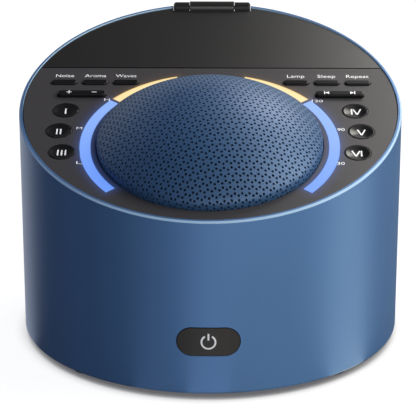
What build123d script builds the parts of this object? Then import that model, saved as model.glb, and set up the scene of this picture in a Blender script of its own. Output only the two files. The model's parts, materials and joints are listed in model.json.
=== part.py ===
from build123d import *
import os
from math import asin, cos, degrees, radians, sin, sqrt, tan

# A table-top sound machine: an upright drum with a slanted control deck, a domed speaker
# and a hinged scent bay. Millimetres. The origin is on the table, under the drum's axis,
# with +Z up, +X to the user's right and -Y towards the user.
#
# Deck pieces are drawn in deck coordinates (x, s, n): x to the right, s up the slope
# towards the back, n out of the deck, with n = 0 on the plane of the shell's rim.

# ---------------------------------------------------------------- shell and base
body_diameter = 130.0
shell_wall = 2.2
axis_height = 80.65        # rim plane above the table, on the drum's axis
deck_tilt = 16.46          # degrees
rim_width = 1.2
rim_chamfer = 0.6
base_edge_radius = 1.2
shell_lift = 2.0           # shell's lower edge above the table
cover_inset = 0.3          # base cover's underside above the shell's lower edge
cover_thickness = 2.5
cover_gap = 0.3            # all round the base cover and the inner frame
foot_diameter = 12.0
foot_margin = 0.8          # from the feet to the shell's inner side
foot_angle = 44.5          # degrees from the X axis
foot_recess = 0.6
foot_edge_radius = 0.6
intake_slots = 7
intake_slot_length = 44.0
intake_slot_width = 2.0
intake_slot_pitch = 4.4
intake_centre_y = -26.0

# ---------------------------------------------------------------- deck, seam and frame
deck_recess = 0.4          # deck's face below the rim plane
panel_thickness = 2.4
lid_thickness = 2.1
deck_gap = 0.3             # between the rim and the deck's edge
seam_s = 23.5
seam_gap = 0.6
rib_width = 1.6
frame_depth = 9.0          # frame's upper face below the rim plane
frame_thickness = 2.0
ledge_width = 3.0
ledge_thickness = 2.0

# ---------------------------------------------------------------- dome grille and light arcs
grille_radius = 37.5
grille_margin = 2.5        # from the dome's side to the deck's front edge
grille_crown = 16.4        # top of the dome above the rim plane
grille_side = 2.06         # edge of the dome above the rim plane, before it is rounded
grille_shoulder = 3.0
grille_wall = 0.8
grille_gap = 0.4
grille_flange_width = 1.5
grille_flange_thickness = 0.8
cloth_gap = 0.3
cloth_thickness = 0.4
hem_inset = 0.3            # cloth's hem inside the grille's flange
arc_offset = 2.15          # from the dome's side to the arcs
arc_width = 3.45
arc_gap = 0.15
arc_sink = 0.05
arc_depth = 5.4
blue_start = 50.0          # degrees from the front of the ring
blue_end = 127.5           # degrees
amber_start = 129.2        # degrees
amber_end = 164.0          # degrees

# ---------------------------------------------------------------- buttons
button_gap = 0.2           # all round every cap
button_lip = 0.3           # flange beyond its cut-out
flange_thickness = 0.8
flange_drop = 0.3          # flange below the panel
button_travel = 0.5
press_slack = 0.1          # left over at full travel
pill_length = 9.0
pill_width = 2.7
pill_lift = 0.6
pill_x = 40.1
pill_pitch = 10.67
pill_s = 13.8
rocker_length = 16.7
rocker_width = 2.8
rocker_lift = 1.3
rocker_x = 44.2
rocker_s = 5.8
rocker_angle = 2.5         # degrees, each way
rocker_depth = 1.3         # body of the rocker below the panel
rocker_reach = 5.5         # from the pivot to each switch
pivot_radius = 0.5
pivot_gap = 0.05
pivot_drop = 0.7           # pivot below the panel
lug_width = 2.6
lug_thickness = 1.0
lug_drop = 1.8
lug_clearance = 0.1        # between a rocker's cut-out and its lugs
lug_web = 0.2              # left outside the pivot's hole in each lug
pivot_end_gap = 0.1
round_diameter = 8.8
round_lift = 0.05
dish_depth = 0.5           # of the hollow in a round cap
dish_rim = 0.55            # left round the hollow
round_places = [           # beyond the arcs, and degrees up from the ring's side
    (9.84, 21.96),
    (8.04, 8.32),
    (5.97, -5.97),
]
cap_edge = 0.45
stem_radius = 0.9

# ---------------------------------------------------------------- control board
board_thickness = 1.6
board_gap = 0.4
board_hole_gap = 1.0       # between the speaker's basket and the control board
board_front_room = 27.5    # board's front edge before the ring's centre
switch_size = 4.4
switch_height = 2.4
plunger_height = 0.8
plunger_radius = 1.1
led_size = 2.6
led_height = 0.9
blue_leds = 5
amber_leds = 3
boss_radius = 2.75
boss_places = [(18.5, 19.0), (56.3, 3.6)]
front_boss_inset = 3.35    # in from the side of the rib
front_boss_angle = 27.4    # degrees from the front of the drum

# ---------------------------------------------------------------- screws
screw_radius = 1.1
screw_head_radius = 2.1
screw_head_height = 1.4
screw_gap = 0.05
hole_gap = 0.3
blind_end = 1.0            # solid left at the end of a screw's hole
panel_screw_bite = 4.5
frame_screw_room = 3.4     # rear frame screws before the panel's rear rib
frame_screw_angle = 20.0   # of the front frame screws, degrees from the X axis
frame_screw_bite = 6.0
frame_boss_length = 9.0

# ---------------------------------------------------------------- speaker
basket_radius = 35.6
basket_opening = 30.4
basket_flange_thickness = 1.2
basket_wall = 1.0
basket_windows = 6
basket_window_width = 10.4
basket_window_low = 2.0    # windows above the basket's floor
basket_window_high = 3.0   # windows below the frame's upper face
basket_depth = 15.0        # from the flange's top to the basket's floor
basket_floor_radius = 19.0
basket_floor_thickness = 1.2
surround_outer = 32.4
surround_outer_hem = 2.0
surround_inner = 24.5
surround_inner_hem = 2.5
surround_thickness = 0.5
cone_radius = 26.5
cone_rim_width = 2.0
cone_thickness = 0.5
cone_wall = 0.8            # of the slanted paper, measured level
dust_cap_curve = 14.0
cone_neck_radius = 8.0
cone_depth = 8.0
coil_radius = 6.3
coil_wall = 0.35
coil_length = 11.5
coil_room = 0.75           # basket's hole beyond the coil
spider_outer = 15.0
spider_thickness = 0.4
spider_height = 3.4        # above the basket's floor
spider_coil_gap = 0.1
spider_ridges = [9.0, 11.4]
spider_ridge_radius = 0.8
spider_ridge_wall = 0.35
magnet_radius = 19.0
magnet_hole_radius = 9.0
magnet_height = 7.0
magnet_plate_radius = 17.0
magnet_plate_thickness = 2.4
pole_gap = 0.35
speaker_screws = 4
speaker_screw_inset = 1.6  # in from the basket's edge
speaker_screw_radius = 0.8
speaker_head_radius = 1.3
speaker_head_height = 0.8

# ---------------------------------------------------------------- scent bay and fan
bay_length = 50.0
bay_width = 20.0
bay_s = 39.0
bay_depth = 18.0           # bay's floor below the rim plane
bay_wall = 1.5
bay_edge_gap = 0.5
lid_gap = 0.3              # lid above the tub
tub_thickness = 1.5
bay_vent_radius = 9.4
vent_spoke_width = 1.6
tray_wall = 1.0
tray_height = 2.6
tray_gap = 0.25
tray_slot = 3.0
tray_slots = 8
tray_slot_margin = 3.0     # from the tray's side to the end of a slot
pad_height = 5.0
pad_gap = 0.2
pad_corner = 2.0
fan_size = 25.0
fan_corner = 2.0
fan_height = 7.0
fan_bore_radius = 11.4
fan_blade_gap = 0.5
fan_hub_radius = 5.5
fan_blades = 7
fan_blade_thickness = 0.8
fan_blade_chord = 8.6
blade_merge = 0.4          # how far a blade runs into the hub
fan_blade_twist = 38.0     # degrees from the fan's plane
fan_base_height = 1.2
fan_strut_width = 1.8
fan_rotor_gap = 0.4        # between the rotor and the motor base
fan_rotor_drop = 0.6       # rotor below the fan's upper face
fan_shaft_radius = 0.75
fan_shaft_drop = 1.4       # shaft's end below the fan's upper face
fan_shaft_end_gap = 0.2
fan_hole_pitch = 20.0
fan_post_radius = 2.2
fan_post_height = 1.5
fan_screw_bite = 0.8
fan_pilot_end = 0.2        # hole beyond the end of a fan screw
tub_boss_places = [(42.0, 30.0), (34.0, 42.0)]
outlet_slots = 9
outlet_web = 0.9           # left above the slots in the tub
outlet_slot_width = 1.8
outlet_slot_pitch = 4.0
outlet_low = 64.0
outlet_high = 77.0

# ---------------------------------------------------------------- hinge
hinge_inset = 2.4          # hinge axis in from the drum's side
hinge_drop = 0.5           # hinge axis below the rim plane
knuckle_radius = 2.3
side_knuckle_radius = 2.0
knuckle_half = 8.1
knuckle_gap = 0.15         # between the knuckles, and beside them in the notch
knuckle_chamfer = 0.6      # on the outer ends
side_knuckle_end = 14.0
knuckle_proud = 0.4        # knuckles beyond the drum's side
pin_radius = 0.75
pin_gap = 0.05
pin_half = 13.4
pin_end_gap = 0.3
hinge_clearance = 0.4
bracket_thickness = 1.8
bracket_half = 13.4        # half of the plate's width
bracket_seat = 5.0         # bracket's seat in from the drum's side
bracket_screw_x = 9.0
bracket_seat_height = 8.0
seat_margin = 1.0          # seat beyond the notch on each side
bracket_hole_depth = 3.6
bracket_screw_bite = 3.2

# ---------------------------------------------------------------- power button and base electronics
power_height = 20.6
power_length = 20.8        # cut-out in the shell
power_width = 10.0
power_gap = 0.25
power_proud = 0.2
power_travel = 0.6
power_lip = 1.2
power_flange = 1.2
power_board_inset = 13.0   # board's face towards the drum's axis, in from the drum's side
power_board_length = 35.0
power_board_width = 13.0
power_post_x = 14.6
power_post_radius = 2.2
power_pilot_depth = 5.0
power_screw_bite = 4.0
main_board_length = 64.0
main_board_front = 2.0
main_board_back = 50.0
main_board_tab = 20.0
standoff_height = 4.0
standoff_radius = 3.0
standoff_inset = 4.0
board_screw_bite = 3.2
chips = [                  # x, y, length, width and height of each on the main board
    (-2.0, 28.0, 12.0, 12.0, 1.6),
    (15.0, 16.0, 6.0, 8.0, 1.4),
    (-19.0, 27.0, 6.0, 6.0, 1.0),
    (18.0, 38.0, 8.0, 8.0, 4.0),
]
capacitor_places = [(-18.0, 42.0), (-9.0, 42.0)]
capacitor_radius = 3.1
capacitor_height = 7.5
header_places = [-19.0, -11.5, 13.0]
header_y = 5.75
header_length = 6.0
header_width = 4.5
header_height = 5.0
ribbon_header_y = 12.5
ribbon_header_width = 3.0
socket_width = 8.94
socket_height = 3.26
socket_depth = 7.3
socket_wall = 0.3
socket_gap = 0.15
socket_back = 1.0
tongue_width = 6.4
tongue_thickness = 0.7
tongue_inset = 1.0
plug_recess_width = 13.0
plug_recess_height = 7.4
plug_recess_depth = 3.4
inlet_wall = 1.6
base_screw_angle = 22.5    # degrees from the X axis
base_screw_bite = 6.0
base_boss_radius = 4.2
boss_merge = 0.3           # how far a boss runs into the wall beside it
base_boss_height = 8.0
base_screw_radius = 1.4
base_head_radius = 2.8
base_head_height = 1.3
base_head_sink = 1.6
ribbon_width = 14.0
ribbon_thickness = 0.5
ribbon_s = 16.8
ribbon_room = 1.0          # beyond each edge of the ribbon, in its slot and header
ribbon_slot_width = 3.0
lead_radius = 0.8
bend_share = 0.45          # of the shorter run, taken up by a bend

# ---------------------------------------------------------------- worked-out places
body_radius = body_diameter / 2
inner_radius = body_radius - shell_wall
rabbet_radius = body_radius - rim_width
deck_radius = rabbet_radius - deck_gap
rib_radius = inner_radius - cover_gap
board_radius = rib_radius - rib_width - board_gap
reach = 2 * body_diameter  # longer than the whole object
past = 1.0                 # how far a cut runs past a face
slope = tan(radians(deck_tilt))
towards_front = -90.0      # degrees from the X axis
foot_circle = inner_radius - foot_margin - foot_diameter / 2
power_board_y = body_radius - power_board_inset

ring_s = grille_margin + grille_radius - deck_radius
grille_rise = grille_crown - grille_side
grille_curve = (grille_radius**2 + grille_rise**2) / (2 * grille_rise)
arc_inner = grille_radius + arc_offset
arc_outer = arc_inner + arc_width
board_front_s = ring_s - board_front_room
board_hole_radius = basket_radius + board_hole_gap
speaker_screw_circle = basket_radius - speaker_screw_inset

deck_top = -deck_recess
panel_low = deck_top - panel_thickness
lid_low = deck_top - lid_thickness
tub_top = lid_low - lid_gap
frame_top = -frame_depth
frame_low = frame_top - frame_thickness
ledge_low = frame_low - ledge_thickness
board_top = frame_top + board_thickness
switch_top = board_top + switch_height
flange_top = panel_low - flange_drop
flange_low = flange_top - flange_thickness
panel_end = seam_s - seam_gap / 2
lid_start = seam_s + seam_gap / 2

cover_low = shell_lift + cover_inset
cover_top = cover_low + cover_thickness
main_board_low = cover_top + standoff_height
main_board_top = main_board_low + board_thickness
inlet_height = main_board_top + socket_height / 2

deck = Plane(
    origin=(0, 0, axis_height),
    x_dir=(1, 0, 0),
    z_dir=(0, -sin(radians(deck_tilt)), cos(radians(deck_tilt))),
)


def rim_height(y):
    """Height of the rim plane above the table, at a distance y behind the drum's axis."""
    return axis_height + y * slope


hinge_y = body_radius - hinge_inset
hinge_z = rim_height(hinge_y) - hinge_drop
side_knuckle_start = knuckle_half + knuckle_gap
notch_half = side_knuckle_end + knuckle_gap
seat_half = notch_half + seat_margin
seat_room = seat_half + cover_gap
seat_y = body_radius - bracket_seat
bracket_front = seat_y - bracket_thickness
bracket_clear_y = bracket_front - screw_head_height - hinge_clearance
bridge_high = rim_height(bracket_front) + lid_low / cos(radians(deck_tilt)) - hinge_clearance
bridge_low = bridge_high - bracket_thickness
notch_low = bridge_low - hinge_clearance
seat_low = notch_low - bracket_seat_height
bracket_screw_z = (notch_low + seat_low) / 2


# ---------------------------------------------------------------- shapes that many pieces use
def block(x0, x1, y0, y1, z0, z1):
    """A box between two corners."""
    return Pos((x0 + x1) / 2, (y0 + y1) / 2, (z0 + z1) / 2) * Box(x1 - x0, y1 - y0, z1 - z0)


def disc(radius, low, high):
    """A round bar about the Z axis between two heights."""
    return Pos(0, 0, (low + high) / 2) * Cylinder(radius, high - low)


def tube(outer, inner, low, high):
    """A ring about the Z axis between two heights."""
    return disc(outer, low, high) - disc(inner, low - past, high + past)


def obround(length, width, low, high):
    """A bar with rounded ends, along X."""
    return Pos(0, 0, low) * extrude(SlotOverall(length, width), high - low)


def on_deck(shape):
    """Moves a shape from deck coordinates to its place on the object."""
    return deck.location * shape


def at_front(shape):
    """Turns a shape so that its Z axis points out of the drum's front, at the power button."""
    return Pos(0, 0, power_height) * Rot(90, 0, 0) * shape


def upright(radius):
    """An upright bar about the drum's axis, taller than the whole object."""
    return disc(radius, -reach, reach)


def slab(radius, low, high):
    """The slice of an upright bar between two levels of the deck."""
    return upright(radius) & on_deck(block(-reach, reach, -reach, reach, low, high))


def deck_part(s_low, s_high):
    """All of the space between two places on the slope."""
    return on_deck(block(-reach, reach, s_low, s_high, -reach, reach))


def ring_sector(inner, outer, start, end, low, high):
    """A stretch of a ring about the dome's centre, with angles from the ring's front."""
    outer_arc = CenterArc((0, 0), outer, start + towards_front, end - start)
    inner_arc = CenterArc((0, 0), inner, start + towards_front, end - start)
    first_side = Line(inner_arc @ 0, outer_arc @ 0)
    last_side = Line(inner_arc @ 1, outer_arc @ 1)
    face = make_face([outer_arc.edge(), last_side.edge(), inner_arc.edge(), first_side.edge()])
    return Pos(0, ring_s, low) * extrude(face, high - low)


def deck_spot(radius, angle, level):
    """Deck coordinates (x, s) of a point on an upright circle at a level of the deck."""
    x = radius * cos(radians(angle))
    y = radius * sin(radians(angle))
    return x, (y + level * sin(radians(deck_tilt))) / cos(radians(deck_tilt))


def place_behind(s, level):
    """How far a point of the deck's middle line lies behind the drum's axis."""
    return s * cos(radians(deck_tilt)) - level * sin(radians(deck_tilt))


def ring_spot(radius, angle):
    """Deck coordinates (x, s) of a point on a circle about the ring's centre."""
    return radius * cos(radians(angle)), ring_s + radius * sin(radians(angle))


def both_sides(places):
    """Each place and its mirror image across the middle."""
    return [(side * x, y) for side in (-1, 1) for x, y in places]


def screw(shank, head, head_height, length):
    """A screw along Z with its head's underside at zero and its shank pointing up."""
    shape = disc(shank, -0.5 * head_height, length) + disc(head, -head_height, 0)
    recess = Pos(0, 0, -head_height) * Box(head, head_height / 2, head_height)
    cross = Pos(0, 0, -head_height) * Box(head_height / 2, head, head_height)
    return shape - recess - cross


def group(shapes):
    """Several separate solids as one sub-part."""
    return Compound(children=[solid for shape in shapes for solid in shape.solids()])


parts = {}

# ---------------------------------------------------------------- outer shell
base_screw_circle = inner_radius - base_boss_radius + boss_merge
base_boss_x = base_screw_circle * cos(radians(base_screw_angle))
base_boss_y = base_screw_circle * sin(radians(base_screw_angle))
base_boss_spots = [(x, y) for x in (-base_boss_x, base_boss_x) for y in (-base_boss_y, base_boss_y)]
frame_screw_circle = board_radius - screw_head_radius
frame_boss_radius = inner_radius - frame_screw_circle + boss_merge
frame_screw_y = place_behind(panel_end - rib_width - frame_screw_room, frame_top)
rear_screw_angle = degrees(asin(frame_screw_y / frame_screw_circle))
frame_screw_spots = both_sides(
    [deck_spot(frame_screw_circle, angle, frame_top) for angle in (rear_screw_angle, -frame_screw_angle)]
)


def make_outer_shell():
    """The drum: tube, tilted rim, ledge, bosses and posts, with its openings cut."""
    drum = disc(body_radius, shell_lift, reach)
    drum = fillet(drum.edges().sort_by(Axis.Z)[0], base_edge_radius)
    drum &= on_deck(block(-reach, reach, -reach, reach, -reach, 0))
    rim = drum.edges().sort_by(Axis.Z)[-1]
    drum = chamfer(rim, rim_chamfer)
    shell = drum - upright(inner_radius)
    shell -= slab(rabbet_radius, panel_low, past)
    wall_core = upright(inner_radius + shell_wall / 2)

    ledge = slab(inner_radius + shell_wall / 2, ledge_low, frame_low) - upright(inner_radius - ledge_width)
    shell += ledge - block(-seat_half, seat_half, 0, seat_y, 0, reach)
    for x, s in frame_screw_spots:
        boss = on_deck(Pos(x, s, 0) * disc(frame_boss_radius, frame_low - frame_boss_length, frame_low))
        shell += boss & wall_core
    for x, s in frame_screw_spots:
        hole_low = frame_low - frame_boss_length + blind_end
        shell -= on_deck(Pos(x, s, 0) * disc(screw_radius + screw_gap, hole_low, frame_low + past))
    for x, y in base_boss_spots:
        shell += Pos(x, y, 0) * disc(base_boss_radius, cover_top, cover_top + base_boss_height) & wall_core
    for x, y in base_boss_spots:
        hole_top = cover_top + base_boss_height - blind_end
        shell -= Pos(x, y, 0) * disc(base_screw_radius + screw_gap, cover_top - past, hole_top)

    # hinge: a notch through the rim and a flat seat for the bracket
    seat = block(-seat_half, seat_half, seat_y, body_radius, seat_low, notch_low)
    shell += seat & wall_core
    shell -= block(-notch_half, notch_half, bracket_clear_y, reach, notch_low, reach)
    for x in (-bracket_screw_x, bracket_screw_x):
        hole = Cylinder(screw_radius + screw_gap, 2 * bracket_hole_depth, rotation=(90, 0, 0))
        shell -= Pos(x, seat_y, bracket_screw_z) * hole

    # power button: cut-out in the front and two posts for its board
    shell -= at_front(obround(power_length, power_width, 0, reach))
    post_end = power_board_y + board_thickness
    pilot = disc(screw_radius + screw_gap, post_end - past, post_end + power_pilot_depth)
    for x in (-power_post_x, power_post_x):
        shell += at_front(Pos(x, 0, 0) * disc(power_post_radius, post_end, body_radius)) & wall_core
        shell -= at_front(Pos(x, 0, 0) * pilot)

    # power inlet: a recess for the plug and a web that the socket stands in
    web_y = body_radius - plug_recess_depth
    inlet = Pos(0, 0, inlet_height) * Rot(-90, 0, 0)
    boss_length = plug_recess_width + 2 * inlet_wall
    boss_width = plug_recess_height + 2 * inlet_wall
    boss = obround(boss_length, boss_width, web_y - inlet_wall, body_radius)
    shell += inlet * boss & wall_core & block(-reach, reach, 0, reach, cover_top, reach)
    shell -= inlet * obround(plug_recess_width, plug_recess_height, web_y, reach)
    opening_length = socket_width + 2 * socket_gap
    opening_width = socket_height + 2 * socket_gap
    shell -= inlet * obround(opening_length, opening_width, web_y - inlet_wall - past, web_y + past)

    # air outlet under the hinge
    for index in range(outlet_slots):
        x = (index - (outlet_slots - 1) / 2) * outlet_slot_pitch
        slot = Rot(0, 0, 90) * obround(outlet_high - outlet_low, outlet_slot_width, seat_y, reach)
        shell -= Pos(x, 0, (outlet_low + outlet_high) / 2) * Rot(-90, 0, 0) * slot
    return shell


parts["outer_shell"] = make_outer_shell()

# ---------------------------------------------------------------- base cover, feet and base screws
foot_spots = both_sides(
    [
        (foot_circle * cos(radians(foot_angle)), foot_circle * sin(radians(foot_angle))),
        (foot_circle * cos(radians(foot_angle)), -foot_circle * sin(radians(foot_angle))),
    ]
)
standoff_spots = both_sides(
    [
        (main_board_length / 2 - standoff_inset, main_board_front + standoff_inset),
        (main_board_length / 2 - standoff_inset, main_board_back - standoff_inset),
    ]
)


def make_base_cover():
    """The floor of the drum, with air slots, foot recesses and standoffs for the main board."""
    cover = disc(inner_radius - cover_gap, cover_low, cover_top)
    intake = obround(intake_slot_length, intake_slot_width, cover_low - past, cover_top + past)
    for index in range(intake_slots):
        y = intake_centre_y + (index - (intake_slots - 1) / 2) * intake_slot_pitch
        cover -= Pos(0, y, 0) * intake
    foot_seat = disc(foot_diameter / 2 + screw_gap, cover_low - past, cover_low + foot_recess)
    for x, y in foot_spots:
        cover -= Pos(x, y, 0) * foot_seat
    screw_hole = disc(base_screw_radius + hole_gap, cover_low - past, cover_top + past)
    screw_hole += disc(base_head_radius + hole_gap, cover_low - past, cover_low + base_head_sink)
    for x, y in base_boss_spots:
        cover -= Pos(x, y, 0) * screw_hole
    for x, y in standoff_spots:
        cover += Pos(x, y, 0) * disc(standoff_radius, cover_top, main_board_low)
    for x, y in standoff_spots:
        cover -= Pos(x, y, 0) * disc(screw_radius + screw_gap, cover_top, main_board_low + past)
    return cover


parts["base_cover"] = make_base_cover()

foot = disc(foot_diameter / 2, 0, cover_low + foot_recess)
foot = fillet(foot.edges().sort_by(Axis.Z)[0], foot_edge_radius)
parts["rubber_feet"] = group([Pos(x, y, 0) * foot for x, y in foot_spots])

base_screw_length = cover_thickness - base_head_sink + base_screw_bite
base_screw = screw(base_screw_radius, base_head_radius, base_head_height, base_screw_length)
base_screw_low = cover_low + base_head_sink
parts["base_screws"] = group([Pos(x, y, base_screw_low) * base_screw for x, y in base_boss_spots])

# ---------------------------------------------------------------- inner frame
front_boss = deck_spot(rib_radius - front_boss_inset, front_boss_angle + towards_front, panel_low)
panel_boss_spots = both_sides(boss_places + [front_boss])
tub_boss_spots = both_sides(tub_boss_places)
bay_half = bay_length / 2 + bay_wall
bay_half_width = bay_width / 2 + bay_wall
speaker_screw_step = 360 / speaker_screws
speaker_screw_spots = [
    ring_spot(speaker_screw_circle, (index + 0.5) * speaker_screw_step) for index in range(speaker_screws)
]


def make_inner_frame():
    """The carrier that sits on the shell's ledge and holds the speaker, the panel and the tub."""
    frame = slab(rib_radius, frame_low, frame_top)
    opening = disc(basket_opening + hole_gap, frame_low - past, frame_top + past)
    frame -= on_deck(Pos(0, ring_s, 0) * opening)
    window_x = bay_half + bay_edge_gap
    window_s = bay_half_width + bay_edge_gap
    window = block(-window_x, window_x, -window_s, window_s, frame_low - past, frame_top + past)
    frame -= on_deck(Pos(0, bay_s, 0) * window)
    slot_half = ribbon_width / 2 + ribbon_room
    slot_near = ribbon_s - ribbon_slot_width / 2
    slot_far = ribbon_s + ribbon_slot_width / 2
    frame -= on_deck(block(-slot_half, slot_half, slot_near, slot_far, frame_low - past, frame_top + past))
    screw_hole = disc(screw_radius + hole_gap, frame_low - past, frame_top + past)
    for x, s in panel_boss_spots + tub_boss_spots + frame_screw_spots:
        frame -= on_deck(Pos(x, s, 0) * screw_hole)
    speaker_hole = disc(speaker_screw_radius + screw_gap, frame_low - past, frame_top + past)
    for x, s in speaker_screw_spots:
        frame -= on_deck(Pos(x, s, 0) * speaker_hole)
    frame -= block(-seat_room, seat_room, bracket_clear_y, reach, 0, reach)
    return frame


parts["inner_frame"] = make_inner_frame()

frame_screw_length = frame_thickness + frame_screw_bite
frame_screw = Rot(180, 0, 0) * screw(screw_radius, screw_head_radius, screw_head_height, frame_screw_length)
parts["frame_screws"] = group([on_deck(Pos(x, s, frame_top) * frame_screw) for x, s in frame_screw_spots])
panel_screw = screw(screw_radius, screw_head_radius, screw_head_height, frame_thickness + panel_screw_bite)
parts["panel_screws"] = group([on_deck(Pos(x, s, frame_low) * panel_screw) for x, s in panel_boss_spots])
parts["tub_screws"] = group([on_deck(Pos(x, s, frame_low) * panel_screw) for x, s in tub_boss_spots])

# ---------------------------------------------------------------- control panel
round_spots = [ring_spot(arc_outer + beyond, angle) for beyond, angle in round_places]
pill_spots = [(pill_x + (index - 1) * pill_pitch, pill_s) for index in range(3)]
pill_cut = obround(pill_length + 2 * button_gap, pill_width + 2 * button_gap, panel_low - past, past)
rocker_cut = obround(rocker_length + 2 * button_gap, rocker_width + 2 * button_gap, panel_low - past, past)
round_cut = disc(round_diameter / 2 + button_gap, panel_low - past, past)
pivot_n = panel_low - pivot_drop
lug_start = rocker_width / 2 + button_gap + lug_clearance
lug_hole_length = 2 * (lug_start + lug_thickness - lug_web)


def arc_span(start, end, margin, low, high):
    """The two mirrored stretches of a light arc, grown by a margin all round."""
    turn = degrees(margin / arc_inner)
    left = ring_sector(arc_inner - margin, arc_outer + margin, -end - turn, -start + turn, low, high)
    right = ring_sector(arc_inner - margin, arc_outer + margin, start - turn, end + turn, low, high)
    return left, right


def make_control_panel():
    """The front part of the deck: a plate with a rim rib, screw bosses and all its cut-outs."""
    panel = slab(deck_radius, panel_low, deck_top)
    panel += slab(rib_radius, frame_top, panel_low) - upright(rib_radius - rib_width)
    panel += slab(rib_radius, frame_top, panel_low) & deck_part(panel_end - rib_width, panel_end)
    panel &= deck_part(-reach, panel_end)
    for x, s in panel_boss_spots:
        panel += on_deck(Pos(x, s, 0) * disc(boss_radius, frame_top, panel_low)) & upright(rib_radius)
    screw_hole = disc(screw_radius + screw_gap, frame_top - past, panel_low - blind_end)
    for x, s in panel_boss_spots:
        panel -= on_deck(Pos(x, s, 0) * screw_hole)
    panel -= on_deck(Pos(0, ring_s, 0) * disc(grille_radius + grille_gap, panel_low - past, past))
    for start, end in ((blue_start, blue_end), (amber_start, amber_end)):
        for stretch in arc_span(start, end, arc_gap, panel_low - past, past):
            panel -= on_deck(stretch)
    for x, s in both_sides(pill_spots):
        panel -= on_deck(Pos(x, s, 0) * pill_cut)
    for x, s in both_sides(round_spots):
        panel -= on_deck(Pos(x, s, 0) * round_cut)
    for x, s in both_sides([(rocker_x, rocker_s)]):
        panel -= on_deck(Pos(x, s, 0) * rocker_cut)
        for side in (-1, 1):
            near, far = sorted((side * lug_start, side * (lug_start + lug_thickness)))
            lug = block(-lug_width / 2, lug_width / 2, near, far, panel_low - lug_drop, panel_low)
            panel += on_deck(Pos(x, s, 0) * lug)
        hole = Cylinder(pivot_radius + pivot_gap, lug_hole_length, rotation=(90, 0, 0))
        panel -= on_deck(Pos(x, s, pivot_n) * hole)
    return panel


parts["control_panel"] = make_control_panel()

# ---------------------------------------------------------------- dome grille and its cloth
sphere_n = grille_crown - grille_curve


def dome(inset, bottom):
    """The space under the dome's surface moved inwards by an inset, down to a level."""
    ball = Pos(0, 0, sphere_n) * Sphere(grille_curve - inset)
    solid = ball & disc(grille_radius - inset, bottom, grille_crown + past)
    shoulder = solid.edges().filter_by(lambda edge: edge.is_closed).sort_by(Axis.Z)[-1]
    return fillet(shoulder, grille_shoulder - inset)


def make_speaker_grille():
    """The domed speaker cover with its glued flange under the panel."""
    flange_bottom = panel_low - grille_flange_thickness
    flange = disc(grille_radius + grille_flange_width, flange_bottom, panel_low)
    shape = dome(0, flange_bottom) + flange
    return shape - dome(grille_wall, flange_bottom - past)


def make_grille_cloth():
    """Black cloth that lines the dome, with a flat hem under the grille's flange."""
    flange_bottom = panel_low - grille_flange_thickness
    outer = grille_wall + cloth_gap
    hem_bottom = flange_bottom - cloth_thickness
    hem_outer = grille_radius + grille_flange_width - hem_inset
    hem = tube(hem_outer, grille_radius - outer - cloth_thickness, hem_bottom, flange_bottom)
    lining = dome(outer, hem_bottom) - dome(outer + cloth_thickness, hem_bottom - past)
    return lining + hem


parts["speaker_grille"] = on_deck(Pos(0, ring_s, 0) * make_speaker_grille())
parts["grille_cloth"] = on_deck(Pos(0, ring_s, 0) * make_grille_cloth())

# ---------------------------------------------------------------- light guides
arc_top = deck_top - arc_sink
arc_low = arc_top - arc_depth
blue_left, blue_right = arc_span(blue_start, blue_end, 0, arc_low, arc_top)
amber_left, amber_right = arc_span(amber_start, amber_end, 0, arc_low, arc_top)
parts["light_guide_blue_left"] = on_deck(blue_left)
parts["light_guide_blue_right"] = on_deck(blue_right)
parts["light_guide_amber_left"] = on_deck(amber_left)
parts["light_guide_amber_right"] = on_deck(amber_right)


# ---------------------------------------------------------------- control board
def make_control_board():
    """The circuit board that lies on the frame round the speaker."""
    board = slab(board_radius, frame_top, board_top)
    board &= deck_part(board_front_s, panel_end - rib_width - board_gap)
    board -= on_deck(Pos(0, ring_s, 0) * disc(board_hole_radius, frame_top - past, board_top + past))
    for radius, spots in (
        (boss_radius, panel_boss_spots),
        (screw_head_radius, frame_screw_spots),
        (speaker_head_radius, speaker_screw_spots),
    ):
        hole = disc(radius + board_gap, frame_top - past, board_top + past)
        for x, s in spots:
            board -= on_deck(Pos(x, s, 0) * hole)
    return board


parts["control_board"] = make_control_board()


def make_switch():
    """A small tact switch standing on the XY plane."""
    half = switch_size / 2
    body_top = switch_height - plunger_height
    return block(-half, half, -half, half, 0, body_top) + disc(plunger_radius, body_top, switch_height)


rocker_switch_spots = [(rocker_x + side * rocker_reach, rocker_s) for side in (-1, 1)]
deck_switch_spots = both_sides(pill_spots + round_spots + rocker_switch_spots)
deck_switches = [on_deck(Pos(x, s, board_top) * make_switch()) for x, s in deck_switch_spots]
power_switch_y = power_board_y + board_thickness
power_switch = at_front(Pos(0, 0, power_switch_y) * make_switch())
parts["tact_switches"] = group(deck_switches + [power_switch])

led_circle = (arc_inner + arc_outer) / 2
led_half = led_size / 2
led = block(-led_half, led_half, -led_half, led_half, board_top, board_top + led_height)
blue_step = (blue_end - blue_start) / blue_leds
amber_step = (amber_end - amber_start) / amber_leds
led_angles = [blue_start + blue_step * (index + 0.5) for index in range(blue_leds)]
led_angles += [amber_start + amber_step * (index + 0.5) for index in range(amber_leds)]
parts["led_chips"] = group(
    [
        on_deck(Pos(0, ring_s, 0) * Rot(0, 0, side * angle + towards_front) * Pos(led_circle, 0, 0) * led)
        for side in (-1, 1)
        for angle in led_angles
    ]
)


# ---------------------------------------------------------------- push buttons
stem_low = switch_top + button_travel + press_slack
dish_radius = round_diameter / 2 - dish_rim
dish_curve = (dish_radius**2 + dish_depth**2) / (2 * dish_depth)


def soft_top(shape, edge):
    """Rounds the upper edges of a cap."""
    return fillet(shape.faces().sort_by(Axis.Z)[-1].edges(), edge)


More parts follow.
